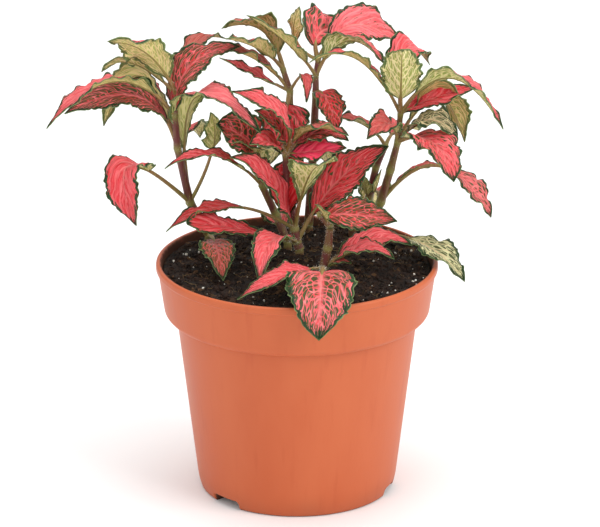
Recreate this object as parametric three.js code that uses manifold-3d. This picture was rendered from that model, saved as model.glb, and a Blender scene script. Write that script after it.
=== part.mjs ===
// A nerve plant in a round nursery pot. Millimetres, +Z up, origin under the middle of the pot.
import * as THREE from "three";
import { mergeVertices } from "three/addons/utils/BufferGeometryUtils.js";
import Module from "manifold-3d";

const wasm = await Module();
wasm.setup();

// Pot: a tapered wall under a deep rim band, on a foot ring round a raised floor.
const POT_HEIGHT = 101;
const RIM_RADIUS = 60;
const BAND_BOTTOM = 79;
const BAND_RADIUS = 56.4;
const SHOULDER_RADIUS = 51.3;
const FOOT_RADIUS = 41;
const FOOT_WIDTH = 4.6;
const WALL = 1.7;
const RECESS_HEIGHT = 4;
const FLOOR_TOP = 6.2;
const PAD_RADIUS = 14;
const POT_SIDES = 32;
const NOTCH_WIDTH = 15;
const NOTCH_HEIGHT = 4;
const NOTCH_DEPTH = 9;
const NOTCH_ANGLES = [-136.5, -16.5, 103.5];
const DRAIN_RADIUS = 4;
const DRAIN_DISTANCE = 25;
const DRAIN_ANGLES = [-76.5, 43.5, 163.5];
const DRAIN_SIDES = 12;

// Soil: filled to just under the rim, a little higher in the middle, with plain holes for stems.
const SOIL_EDGE = 98;
const SOIL_MOUND = 1.6;
const SOIL_LUMP = 0.55;
const SOIL_RIPPLE = 0.35;
const SOIL_RINGS = [52, 44, 33, 20, 8];
const GAP = 0.3;
const ROOT_BOTTOM = 84;
const HOLE_MARGIN = 0.6;
const HOLE_SIDES = 8;

// Stems: thicker at each joint, where leaves grow.
const STEM_SIDES = 6;
const ROOT_TAPER = 0.8;
const JOINT_SWELL = 1.25;
const JOINT_REACH = 2.6;

// Leaves: a thin stalk, then a blade folded up along its middle, with a waved edge.
const STALK_RADIUS = 0.75;
const STALK_SHARE = 0.2;
const STALK_RINGS = [0, 0.6];
const BLADE_THICK = 0.7;
const BLADE_FOLD = 0.32;
const BLADE_WAVE = 0.14;
const WIDE_COLUMNS = [-1, -0.5, 0, 0.5, 1];
const NARROW_COLUMNS = [-1, 0, 1];
const NARROW = 13;

// Distance along the blade, half width there as a share of the widest, and height of the wave.
const SLENDER = [
  [0.0, 0.13, 0.0],
  [0.15, 0.6, 0.4],
  [0.33, 0.97, -1.0],
  [0.52, 0.96, 1.0],
  [0.71, 0.68, -1.0],
  [0.88, 0.31, 0.6],
  [1.0, 0.06, 0.0],
];
const ROUND = [
  [0.0, 0.15, 0.0],
  [0.07, 0.7, 0.4],
  [0.24, 0.98, -1.0],
  [0.45, 1.0, 1.0],
  [0.66, 0.84, -1.0],
  [0.86, 0.48, 0.6],
  [1.0, 0.06, 0.0],
];
const FAN = [
  [0.0, 0.1, 0.0],
  [0.15, 0.28, 0.3],
  [0.36, 0.55, -0.7],
  [0.57, 0.84, 1.0],
  [0.76, 1.0, -1.0],
  [0.92, 0.78, 0.6],
  [1.0, 0.3, 0.0],
];

// Each stem has the joints it passes, with its radius there, and the leaves on it: the joint a
// leaf grows from, the point its middle bends towards, its tip, its width, how far the blade is
// rolled and twisted in degrees, the share of its length that is stalk, how steeply it is folded
// and the form of its outline.
const STEMS = {
  stem_left: {
    points: [
      [-38, 30, 102, 1.9],
      [-46, 27, 118, 1.8],
      [-51, 22, 144, 1.6],
      [-52, 18, 160, 1.3],
      [-51, 18, 169, 1.1],
    ],
    leaves: {
      a1: { at: 2, over: [-60, 16, 184], tip: [-98, 2, 166], wide: 17, roll: -35 },
      a2: { at: 3, over: [-75, 5, 198], tip: [-105, -12, 164], wide: 13, roll: 35, twist: -45 },
      a3: { at: 4, over: [-60, 8, 197], tip: [-79, -8, 201], wide: 19, roll: 30, fold: 0.1 },
      a4: { at: 4, over: [-71, 20, 192], tip: [-83, 20, 179], wide: 12, roll: 35 },
      a5: { at: 2, over: [-66, 27, 203], tip: [-83, 32, 151], wide: 16, roll: 35 },
      a7: { at: 3, over: [-52, 12, 191], tip: [-24, 24, 189], wide: 16, roll: 30, share: 0.05 },
      a8: { at: 4, over: [-48, 28, 198], tip: [-30, 48, 185], wide: 9 },
      a10: { at: 1, over: [-57, 20, 199], tip: [-15, -6, 160], wide: 17, share: 0.28 },
      a12: { at: 1, over: [-31, 18, 148], tip: [-37, 16, 162], wide: 9, share: 0.62, form: ROUND },
      a13: { at: 1, over: [-85, -8, 168], tip: [-68, -10, 120], wide: 17, share: 0.42, form: ROUND },
      a15: { at: 2, over: [-46, 42, 156], tip: [-42, 56, 138], wide: 13.5 },
      a14: { at: 0, over: [-34, -4, 114], tip: [-31, -26, 101.5], wide: 15, share: 0.35 },
    },
  },
  stem_left_inner: {
    points: [
      [-4, 20, 102, 1.8],
      [-9, 22, 114, 1.7],
      [-15, 20, 128, 1.5],
      [-15, 17, 141, 1.2],
    ],
    leaves: {
      d1: { at: 3, over: [-21, 12, 154], tip: [-34, 6, 160], wide: 21, roll: -55, form: ROUND },
      d2: { at: 2, over: [-21, 12, 152], tip: [-28, 3, 152.5], wide: 18 },
      d3: { at: 2, over: [-35, 4, 157], tip: [-56, -2, 143], wide: 9, roll: -10 },
      d4: { at: 0, over: [-9, 34, 115], tip: [-14, 49, 102], wide: 12 },
    },
  },
  stem_centre: {
    points: [
      [1, 12, 102, 2.0],
      [0, 12, 105, 1.9],
      [-1, 12, 111, 1.8],
      [-4, 14, 126, 1.6],
      [-5, 14, 144, 1.3],
    ],
    leaves: {
      c1: { at: 2, over: [-13, 1, 147], tip: [-28, -8, 150], wide: 18, roll: -45, share: 0.06 },
      c2: { at: 2, over: [3, 5, 141], tip: [9.5, -18, 150], wide: 21, share: 0.3, form: FAN },
      c3: { at: 2, over: [-9, 11, 130], tip: [3, 17, 146], wide: 17, roll: 10 },
      c4: { at: 1, over: [14, 13, 137], tip: [39, 16, 147], wide: 19, roll: 50, share: 0.24 },
      c5: { at: 4, over: [-10, 4, 156], tip: [-20, -4, 154.5], wide: 13, roll: -35 },
      c6: { at: 4, over: [3, 10, 164], tip: [22, 0, 157], wide: 12, roll: -10 },
      c7: { at: 4, over: [9, 11, 161], tip: [22, 8, 152], wide: 11, roll: 30 },
      c8: { at: 4, over: [4, 2, 168], tip: [-28, -4, 178], wide: 13, roll: -40 },
      c9: { at: 4, over: [-5, 8, 161], tip: [-18, 7, 166], wide: 15, roll: -40 },
      c10: { at: 1, over: [-15, -33, 130], tip: [-15.5, -42, 105], wide: 15 },
      c11: { at: 1, over: [-24, 7, 114], tip: [-47, 2, 117.5], wide: 12, roll: -30, form: FAN },
      c12: { at: 2, over: [-31, 9, 133], tip: [-56, 6, 112], wide: 10, roll: -10, share: 0.4 },
      c13: { at: 4, over: [6, 6, 148], tip: [21, 5, 150], wide: 15, roll: 25, share: 0.1 },
    },
  },
  stem_back_left: {
    points: [
      [-2, 44, 102, 2.0],
      [-3, 36, 134, 1.8],
      [-3, 30, 167, 1.4],
      [-6, 30, 177, 1.2],
    ],
    leaves: {
      b1: { at: 2, over: [-16, 28, 188], tip: [-36, 26, 187], wide: 14 },
      b2: { at: 3, over: [-15, 21, 192], tip: [-30, 6, 198], wide: 15, roll: 10 },
      b3: { at: 3, over: [-11, 32, 203], tip: [-32, 24, 197], wide: 23, roll: 20 },
      b4: { at: 2, over: [6, 14, 189], tip: [4, 8, 169], wide: 5, share: 0.4 },
      b5: { at: 2, over: [-16, 32, 173], tip: [-33, 34, 181], wide: 9 },
      b6: { at: 2, over: [-4, 28.5, 166], tip: [-6, 18.5, 142], wide: 22, form: ROUND },
      b7: { at: 1, over: [-9, 56, 140], tip: [-12, 70, 121], wide: 15 },
    },
  },
  stem_back_right: {
    points: [
      [5, 44, 102, 2.0],
      [7, 36, 139, 1.8],
      [8, 30, 166, 1.5],
      [8, 30, 174, 1.3],
      [9, 30, 181, 1.1],
    ],
    leaves: {
      t1: { at: 4, over: [4, 28, 197], tip: [20, 50, 190], wide: 23, roll: 35 },
      t2: { at: 4, over: [21, 34, 208], tip: [45, 44, 183], wide: 19, roll: 35 },
      t3: { at: 3, over: [20, 24, 205], tip: [37, 15, 184], wide: 16, roll: -35, twist: 25 },
      t4: { at: 4, over: [-6, 27, 188], tip: [1.3, 22, 207], wide: 8, share: 0.45 },
      t5: { at: 3, over: [-2, 16, 195], tip: [-21, 10, 207], wide: 11, roll: 10 },
      t6: { at: 2, over: [12, 22, 173], tip: [17, 17, 154], wide: 13, form: ROUND },
      t7: { at: 1, over: [12, 56, 140], tip: [14, 70, 119], wide: 15 },
    },
  },
  stem_right: {
    points: [
      [29, 32, 102, 2.0],
      [36, 30, 117, 1.9],
      [40, 26, 133, 1.7],
      [43, 22, 147, 1.4],
      [44, 20, 160, 1.2],
    ],
    leaves: {
      e1: { at: 3, over: [41, 10, 167], tip: [29.5, -3, 156.5], wide: 13, roll: -25 },
      e2: { at: 4, over: [44, 7, 188], tip: [44, -6, 197], wide: 17, form: ROUND },
      e3: { at: 4, over: [41, 15, 207], tip: [57, 40, 176], wide: 14, roll: 25 },
      e4: { at: 4, over: [65, 8, 200], tip: [87, -4, 161], wide: 15, roll: -30, twist: 10 },
      e5: { at: 4, over: [54, 22, 167], tip: [76, 26, 170], wide: 13, roll: 30, share: 0.06 },
      e6: { at: 3, over: [62, 30, 186], tip: [72, 28, 145], wide: 19, roll: -35 },
      e7: { at: 3, over: [56, 12, 169], tip: [68, 2, 155], wide: 15, roll: 15 },
      e8: { at: 3, over: [60, -1, 163], tip: [66, -14, 141], wide: 19, form: ROUND },
      e9: { at: 1, over: [61, 20, 157], tip: [83, 10, 117], wide: 13, roll: 10, share: 0.6 },
      e10: { at: 1, over: [50, 28, 141], tip: [67, 24, 133], wide: 8, share: 0.25 },
      e11: { at: 4, over: [27, 13, 200], tip: [5, 4, 188], wide: 10, roll: -25, twist: 55 },
      e12: { at: 0, over: [57, 2, 114], tip: [71, -15, 97], wide: 16, share: 0.42 },
      e13: { at: 1, over: [33, 54, 124], tip: [33, 68, 97], wide: 14 },
    },
  },
  stem_right_inner: {
    points: [
      [24, 42, 102, 1.8],
      [31, 38, 116, 1.7],
      [34, 36, 131, 1.5],
      [38, 34, 141, 1.2],
    ],
    leaves: {
      i1: { at: 1, over: [30, 35, 121], tip: [29, 32, 128], wide: 6 },
      i2: { at: 3, over: [31, 33, 155], tip: [16, 30, 155], wide: 12 },
      i3: { at: 1, over: [34, 37, 120], tip: [36, 36, 130], wide: 6 },
      i4: { at: 3, over: [42, 41, 151], tip: [53, 60, 140], wide: 14 },
    },
  },
  stem_front: {
    points: [
      [11, -14, 102, 2.0],
      [13, -15, 112, 1.8],
      [14, -16, 122, 1.4],
      [9.5, -16, 127, 1.1],
    ],
    leaves: {
      f1: { at: 2, over: [12, -19, 129], tip: [8, -22, 134], wide: 8, roll: -20 },
      f2: { at: 3, over: [25, -20, 130], tip: [42, -24, 127], wide: 15, roll: 50, share: 0.04 },
      f3: { at: 0, over: [10, -58, 119.5], tip: [9, -73, 92], wide: 29, share: 0.3, fold: 0.1, form: ROUND },
      f4: { at: 0, over: [31, -8, 121], tip: [49, -6, 110], wide: 13, roll: 20 },
      f5: { at: 0, over: [28, -21, 121], tip: [41, -26, 111], wide: 11, roll: 10 },
      f6: { at: 0, over: [18, -18, 109], tip: [23, -20, 107], wide: 6 },
      f7: { at: 0, over: [-2, -48, 117], tip: [-25, -51.5, 102.3], wide: 11, roll: -10 },
    },
  },
};

const COLOURS = {
  pot: 0xd0703c,
  soil: 0x2b2019,
  stem_left: 0xc8504e,
  stem_left_inner: 0xa04450,
  stem_centre: 0xd4605c,
  stem_back_left: 0x9a5a4a,
  stem_back_right: 0xc97468,
  stem_right: 0xb8524c,
  stem_right_inner: 0x8a9a50,
  stem_front: 0x6f8a40,
};

// A closed solid from a geometry, with its seams joined and its flat slivers left out.
function solidOf(geometry) {
  const bare = new THREE.BufferGeometry();
  bare.setAttribute("position", geometry.getAttribute("position"));
  bare.setIndex(geometry.index);
  const joined = mergeVertices(bare, 1e-4);
  const index = joined.index.array;
  const kept = [];
  for (let i = 0; i < index.length; i += 3) {
    const [a, b, c] = [index[i], index[i + 1], index[i + 2]];
    if (a !== b && b !== c && c !== a) kept.push(a, b, c);
  }
  return new wasm.Manifold(
    new wasm.Mesh({
      numProp: 3,
      vertProperties: new Float32Array(joined.attributes.position.array),
      triVerts: new Uint32Array(kept),
    }),
  );
}

function meshOf(name, solid, roughness) {
  const made = solid.getMesh();
  const geometry = new THREE.BufferGeometry();
  geometry.setAttribute("position", new THREE.BufferAttribute(made.vertProperties, 3));
  geometry.setIndex(new THREE.BufferAttribute(made.triVerts, 1));
  geometry.computeVertexNormals();
  const material = new THREE.MeshStandardMaterial({ color: COLOURS[name], roughness, metalness: 0 });
  const mesh = new THREE.Mesh(geometry, material);
  mesh.name = name;
  return mesh;
}

// A round body about the upright axis, from a profile that starts and ends on that axis.
function turned(profile) {
  const points = profile.map(([radius, z]) => new THREE.Vector2(radius, z));
  const geometry = new THREE.LatheGeometry(points, POT_SIDES);
  geometry.rotateX(Math.PI / 2);
  return solidOf(geometry);
}

// An upright cylinder with its foot at z.
function upright(radius, length, x, y, z, sides) {
  const geometry = new THREE.CylinderGeometry(radius, radius, length, sides);
  geometry.rotateX(Math.PI / 2);
  geometry.translate(x, y, z + length / 2);
  return geometry;
}

// A ring of points, evenly spaced on a circle, with z from a number or a function of x and y.
function circle(radius, z, sides, cx = 0, cy = 0) {
  const ring = [];
  for (let j = 0; j < sides; j += 1) {
    const angle = (j / sides) * 2 * Math.PI;
    const x = cx + radius * Math.cos(angle);
    const y = cy + radius * Math.sin(angle);
    ring.push(new THREE.Vector3(x, y, typeof z === "function" ? z(x, y) : z));
  }
  return ring;
}

// A closed body from rings with the same number of points, first to last, with flat ends. From the
// point that crossed names on, its faces are split the other way, so that both faces of a thin
// blade are split alike.
function lofted(rings, crossed = Infinity) {
  const count = rings[0].length;
  const positions = [];
  const index = [];
  for (const ring of rings) {
    for (const p of ring) positions.push(p.x, p.y, p.z);
  }
  for (let i = 0; i + 1 < rings.length; i += 1) {
    for (let j = 0; j < count; j += 1) {
      const a = i * count + j;
      const b = i * count + ((j + 1) % count);
      if (j < crossed) index.push(a, b, b + count, a, b + count, a + count);
      else index.push(a, b, a + count, b, b + count, a + count);
    }
  }
  const last = (rings.length - 1) * count;
  for (let j = 1; j + 1 < count; j += 1) {
    index.push(0, j + 1, j);
    index.push(last, last + j, last + j + 1);
  }
  const geometry = new THREE.BufferGeometry();
  geometry.setAttribute("position", new THREE.Float32BufferAttribute(positions, 3));
  geometry.setIndex(index);
  return solidOf(geometry);
}

function pot() {
  const footInside = FOOT_RADIUS - FOOT_WIDTH;
  const under = [
    [0, 0],
    [PAD_RADIUS, 0],
    [PAD_RADIUS + 0.5, RECESS_HEIGHT],
    [footInside - 0.5, RECESS_HEIGHT],
    [footInside, 0],
    [FOOT_RADIUS - 0.6, 0],
  ];
  const outside = [
    [FOOT_RADIUS + 0.7, 0.9],
    [FOOT_RADIUS + 1.4, 2.6],
    [FOOT_RADIUS + 1.8, 6],
    [SHOULDER_RADIUS, BAND_BOTTOM - 2.6],
    [SHOULDER_RADIUS + 0.6, BAND_BOTTOM - 1.6],
    [BAND_RADIUS - 1.4, BAND_BOTTOM - 1],
    [BAND_RADIUS - 0.3, BAND_BOTTOM - 0.2],
    [BAND_RADIUS + 0.1, BAND_BOTTOM + 1.4],
    [RIM_RADIUS - 0.7, POT_HEIGHT - 4],
    [RIM_RADIUS, POT_HEIGHT - 2.2],
    [RIM_RADIUS, POT_HEIGHT - 1],
    [RIM_RADIUS - 0.7, POT_HEIGHT - 0.2],
    [RIM_RADIUS - 1.4, POT_HEIGHT],
  ];
  const inside = [
    [RIM_RADIUS - 2.2, POT_HEIGHT - 0.6],
    [RIM_RADIUS - 2.6, POT_HEIGHT - 3],
    [BAND_RADIUS - WALL, BAND_BOTTOM + 1.6],
    [SHOULDER_RADIUS - WALL, BAND_BOTTOM - 0.4],
    [SHOULDER_RADIUS - WALL - 0.1, BAND_BOTTOM - 2.6],
    [FOOT_RADIUS + 0.2, FLOOR_TOP + 1.8],
    [FOOT_RADIUS - 0.8, FLOOR_TOP],
    [0, FLOOR_TOP],
  ];
  let body = turned([...under, ...outside, ...inside]);
  for (const angle of NOTCH_ANGLES) {
    const notch = new THREE.BoxGeometry(NOTCH_DEPTH, NOTCH_WIDTH, 2 * NOTCH_HEIGHT);
    notch.translate(FOOT_RADIUS - FOOT_WIDTH / 4, 0, 0);
    notch.rotateZ(THREE.MathUtils.degToRad(angle));
    body = body.subtract(solidOf(notch));
  }
  for (const angle of DRAIN_ANGLES) {
    const drain = upright(DRAIN_RADIUS, FLOOR_TOP, DRAIN_DISTANCE, 0, FLOOR_TOP / 2, DRAIN_SIDES);
    drain.rotateZ(THREE.MathUtils.degToRad(angle));
    body = body.subtract(solidOf(drain));
  }
  return body;
}

function soilHeight(x, y) {
  const mound = SOIL_MOUND * (1 - (x * x + y * y) / (BAND_RADIUS * BAND_RADIUS));
  const lumps = SOIL_LUMP * Math.sin(x / 5.3 + 0.7) * Math.cos(y / 6.1);
  const ripples = SOIL_RIPPLE * Math.sin((x + y) / 3.7);
  return SOIL_EDGE + mound + lumps + ripples;
}

// The soil follows the inside of the pot, a gap away from it.
function soil() {
  const walls = [
    [FOOT_RADIUS - 1.3, FLOOR_TOP + GAP],
    [FOOT_RADIUS - 0.2, FLOOR_TOP + GAP + 1.8],
    [SHOULDER_RADIUS - WALL - 0.5, BAND_BOTTOM - 2.2],
    [SHOULDER_RADIUS - WALL - 0.4, BAND_BOTTOM + 0.1],
    [BAND_RADIUS - WALL - 0.6, BAND_BOTTOM + 2.1],
    [RIM_RADIUS - WALL - 2, soilHeight],
  ];
  const tops = SOIL_RINGS.map((radius) => [radius, soilHeight]);
  let body = lofted([...walls, ...tops].map(([radius, z]) => circle(radius, z, POT_SIDES)));
  for (const { points } of Object.values(STEMS)) {
    const [x, y, z, radius] = points[0];
    const foot = ROOT_BOTTOM - GAP;
    body = body.subtract(solidOf(upright(radius + HOLE_MARGIN, z + 6 - foot, x, y, foot, HOLE_SIDES)));
  }
  return body;
}

// A stem's tube: upright in its hole, then bent from joint to joint, with a swelling at each.
function stemTube(points) {
  const [x, y, z, radius] = points[0];
  const rings = [circle(radius * ROOT_TAPER, ROOT_BOTTOM, STEM_SIDES, x, y)];
  const ringAt = (place, size) => rings.push(circle(size, place.z, STEM_SIDES, place.x, place.y));
  const joints = points.map(([px, py, pz]) => new THREE.Vector3(px, py, pz));
  const below = new THREE.Vector3(x, y, ROOT_BOTTOM);
  joints.forEach((joint, i) => {
    const size = points[i][3];
    const before = i > 0 ? joints[i - 1] : below;
    const reach = Math.min(0.4, JOINT_REACH / joint.distanceTo(before));
    ringAt(joint.clone().lerp(before, reach), size);
    ringAt(joint, size * JOINT_SWELL);
    if (i + 1 < joints.length) {
      const after = joints[i + 1];
      ringAt(joint.clone().lerp(after, Math.min(0.4, JOINT_REACH / joint.distanceTo(after))), size);
    }
  });
  return lofted(rings);
}

// A point on a leaf's middle, with the direction across it and the one off its upper face.
function placeAlong(curve, across, share, turn) {
  const at = curve.getPointAt(share);
  const along = curve.getTangentAt(share);
  const side = across.clone().addScaledVector(along, -across.dot(along)).normalize();
  side.applyAxisAngle(along, THREE.MathUtils.degToRad(turn));
  const up = new THREE.Vector3().crossVectors(along, side).normalize();
  return (sideways, upwards) => at.clone().addScaledVector(side, sideways).addScaledVector(up, upwards);
}

function leafBody(joint, leaf) {
  const { over, tip, wide, roll = 0, twist = 0 } = leaf;
  const { share = STALK_SHARE, fold = BLADE_FOLD, form = SLENDER } = leaf;
  const base = new THREE.Vector3(...joint.slice(0, 3));
  const curve = new THREE.QuadraticBezierCurve3(base, new THREE.Vector3(...over), new THREE.Vector3(...tip));
  const across = new THREE.Vector3(base.y - tip[1], tip[0] - base.x, 0).normalize();
  const columns = wide > NARROW ? WIDE_COLUMNS : NARROW_COLUMNS;
  const sides = 2 * columns.length;
  const rings = STALK_RINGS.map((part) => {
    const place = placeAlong(curve, across, share * part, roll);
    return Array.from({ length: sides }, (_, j) => {
      const angle = (2 * Math.PI * (j + 0.5)) / sides;
      return place(-STALK_RADIUS * Math.cos(angle), STALK_RADIUS * Math.sin(angle));
    });
  });
  for (const [v, width, wave] of form) {
    const place = placeAlong(curve, across, share + (1 - share) * v, roll + twist * v);
    const half = (wide / 2) * width;
    const section = columns.map((u) => {
      const ripple = Math.abs(u) === 1 ? u * wave : 0;
      return [half * u, fold * half * Math.abs(u) + (BLADE_WAVE * wide * ripple) / 2];
    });
    const top = section.map(([sideways, upwards]) => place(sideways, upwards));
    const under = section.map(([sideways, upwards]) => place(sideways, upwards - BLADE_THICK));
    rings.push([...top, ...under.reverse()]);
  }
  return lofted(rings.map((ring) => ring.reverse()), columns.length);
}

function leafyStem({ points, leaves }) {
  let body = stemTube(points);
  for (const leaf of Object.values(leaves)) body = body.add(leafBody(points[leaf.at], leaf));
  return body;
}

const plant = new THREE.Group();
plant.add(meshOf("pot", pot(), 0.45));
plant.add(meshOf("soil", soil(), 1));
for (const [name, stem] of Object.entries(STEMS)) {
  plant.add(meshOf(name, leafyStem(stem), 0.55));
}

export default plant;
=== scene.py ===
"""Looks of the potted nerve plant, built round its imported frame.

Sizes are millimetres until a piece is finished, and then metres, +Z up, with the origin
under the middle of the pot, as in the part's own source.
"""

import logging
import math
import random
from collections.abc import Callable, Iterable, Sequence
from dataclasses import dataclass
from enum import Enum
from typing import Any

import bmesh
import bpy
from mathutils import Matrix, Quaternion, Vector, noise


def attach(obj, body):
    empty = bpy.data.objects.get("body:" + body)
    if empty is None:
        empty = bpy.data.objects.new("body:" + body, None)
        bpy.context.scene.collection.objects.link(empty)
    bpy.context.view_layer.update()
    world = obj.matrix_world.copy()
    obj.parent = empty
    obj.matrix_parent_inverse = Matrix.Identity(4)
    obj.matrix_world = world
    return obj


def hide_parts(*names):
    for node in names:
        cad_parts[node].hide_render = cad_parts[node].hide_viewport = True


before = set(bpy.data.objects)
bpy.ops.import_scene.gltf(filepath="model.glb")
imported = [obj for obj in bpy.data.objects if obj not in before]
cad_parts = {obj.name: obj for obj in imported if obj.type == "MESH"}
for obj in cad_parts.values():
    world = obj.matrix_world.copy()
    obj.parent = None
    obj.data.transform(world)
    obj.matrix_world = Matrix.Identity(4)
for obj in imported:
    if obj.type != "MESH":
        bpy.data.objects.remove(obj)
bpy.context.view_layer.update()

LOG = logging.getLogger("nerve_plant")
MM = 0.001
BODY = "root"

Point = tuple[float, float, float]
Colour = tuple[float, float, float, float]
Value = Any  # a number, a tuple or a node's output socket


def paint(red: int, green: int, blue: int) -> Colour:
    """Turns a colour as a screen shows it, 0 to 255, into the linear one that a shader takes.

    Args:
        red: Red part.
        green: Green part.
        blue: Blue part.

    Returns:
        Linear red, green, blue and a full alpha.
    """
    def linear(level: int) -> float:
        """Gives one part of the colour, 0 to 1."""
        share = level / 255
        return share / 12.92 if share <= 0.04045 else ((share + 0.055) / 1.055) ** 2.4

    return (linear(red), linear(green), linear(blue), 1.0)


class Slot(Enum):
    """The record's material slots."""

    POT = "pot_plastic"
    SOIL = "potting_soil"
    PLANT = "nerve_plant"


# ---------------------------------------------------------------- nodes and shared effects


class Wiring:
    """Adds nodes to one tree and joins them."""

    def __init__(self, tree: bpy.types.NodeTree) -> None:
        """Keeps the tree that the nodes go to."""
        self.tree = tree

    def add(self, kind: str, inputs: dict[Any, Value] | None = None, **settings: Any) -> bpy.types.Node:
        """Adds one node.

        Args:
            kind: Blender's name for the node type, without its ShaderNode.
            inputs: Value or socket for each input, by name or number.
            **settings: The node's own properties.

        Returns:
            The new node.
        """
        node = self.tree.nodes.new(kind if kind.startswith("Node") else "ShaderNode" + kind)
        for name, value in settings.items():
            setattr(node, name, value)
        for name, value in (inputs or {}).items():
            self.put(node.inputs[name], value)
        return node

    def put(self, socket: bpy.types.NodeSocket, value: Value) -> None:
        """Joins a socket to another one, or sets its value."""
        if isinstance(value, bpy.types.NodeSocket):
            self.tree.links.new(value, socket)
        else:
            socket.default_value = value

    def math(self, operation: str, *values: Value, clamp: bool = False) -> bpy.types.NodeSocket:
        """Gives the result of one sum on numbers."""
        inputs = dict(enumerate(values))
        return self.add("Math", inputs, operation=operation, use_clamp=clamp).outputs[0]

    def ramp(
        self, value: Value, low: Value, high: Value, start: Value = 0.0, end: Value = 1.0
    ) -> bpy.types.NodeSocket:
        """Gives start below low and end above high, with a soft step between."""
        inputs = {"Value": value, "From Min": low, "From Max": high, "To Min": start, "To Max": end}
        return self.add("MapRange", inputs, interpolation_type="SMOOTHSTEP").outputs["Result"]

    def blend(self, share: Value, first: Value, second: Value) -> bpy.types.NodeSocket:
        """Gives a colour between two others."""
        node = self.add("Mix", data_type="RGBA")
        for place, value in ((0, share), (6, first), (7, second)):
            self.put(node.inputs[place], value)
        return node.outputs[2]

    def noise(
        self, place: Value, scale: Value, detail: float = 3.0, rough: float = 0.5
    ) -> bpy.types.NodeSocket:
        """Gives cloudy noise, 0 to 1, at a place."""
        inputs = {"Vector": place, "Scale": scale, "Detail": detail, "Roughness": rough}
        return self.add("TexNoise", inputs).outputs[0]

    def stretch(self, place: Value, scale: Point) -> bpy.types.NodeSocket:
        """Gives a place scaled along its three axes."""
        return self.add("Mapping", {"Vector": place, "Scale": scale}).outputs[0]

    def parts(self, vector: Value) -> list[bpy.types.NodeSocket]:
        """Gives the three numbers of a vector."""
        return list(self.add("SeparateXYZ", {0: vector}).outputs)

    def vector(self, *values: Value) -> bpy.types.NodeSocket:
        """Gives a vector from its numbers."""
        return self.add("CombineXYZ", dict(enumerate(values))).outputs[0]

    def attribute(self, name: str) -> list[bpy.types.NodeSocket]:
        """Gives the three numbers that a piece keeps under a name at each of its points."""
        return self.parts(self.add("Attribute", attribute_name=name).outputs["Vector"])


class Effect:
    """A shader node group with named inputs and outputs, made once and used by several finishes."""

    def __init__(self, name: str, inputs: dict[str, str], outputs: dict[str, str]) -> None:
        """Makes the empty group.

        Args:
            name: The group's name.
            inputs: Socket type, without its NodeSocket, for each input.
            outputs: The same for each output.
        """
        self.tree = bpy.data.node_groups.new(name, "ShaderNodeTree")
        for side, sockets in (("INPUT", inputs), ("OUTPUT", outputs)):
            for socket, kind in sockets.items():
                self.tree.interface.new_socket(socket, in_out=side, socket_type="NodeSocket" + kind)
        self.wiring = Wiring(self.tree)
        self.given = self.wiring.add("NodeGroupInput").outputs
        self.result = self.wiring.add("NodeGroupOutput").inputs

    def place(self, wiring: Wiring, inputs: dict[str, Value]) -> bpy.types.bpy_prop_collection:
        """Puts the group into a material.

        Args:
            wiring: The material's wiring.
            inputs: Value or socket for each input.

        Returns:
            The outputs of the placed group.
        """
        node = wiring.add("Group", node_tree=self.tree)
        for name, value in inputs.items():
            wiring.put(node.inputs[name], value)
        return node.outputs


def mottling_effect() -> Effect:
    """Makes cloudy patches with a finer grain in them.

    Returns:
        The effect, with a patch mask and a height.
    """
    effect = Effect(
        "Mottling",
        {"Place": "Vector", "Patch Scale": "Float", "Grain Scale": "Float", "Softness": "Float"},
        {"Patches": "Float", "Grain": "Float"},
    )
    wiring, given = effect.wiring, effect.given
    patches = wiring.noise(given["Place"], given["Patch Scale"], 4.0, 0.6)
    half = wiring.math("MULTIPLY", given["Softness"], 0.5)
    low = wiring.math("SUBTRACT", 0.5, half)
    high = wiring.math("ADD", 0.5, half)
    wiring.put(effect.result["Patches"], wiring.ramp(patches, low, high))
    wiring.put(effect.result["Grain"], wiring.noise(given["Place"], given["Grain Scale"], 2.0, 0.6))
    return effect


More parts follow.
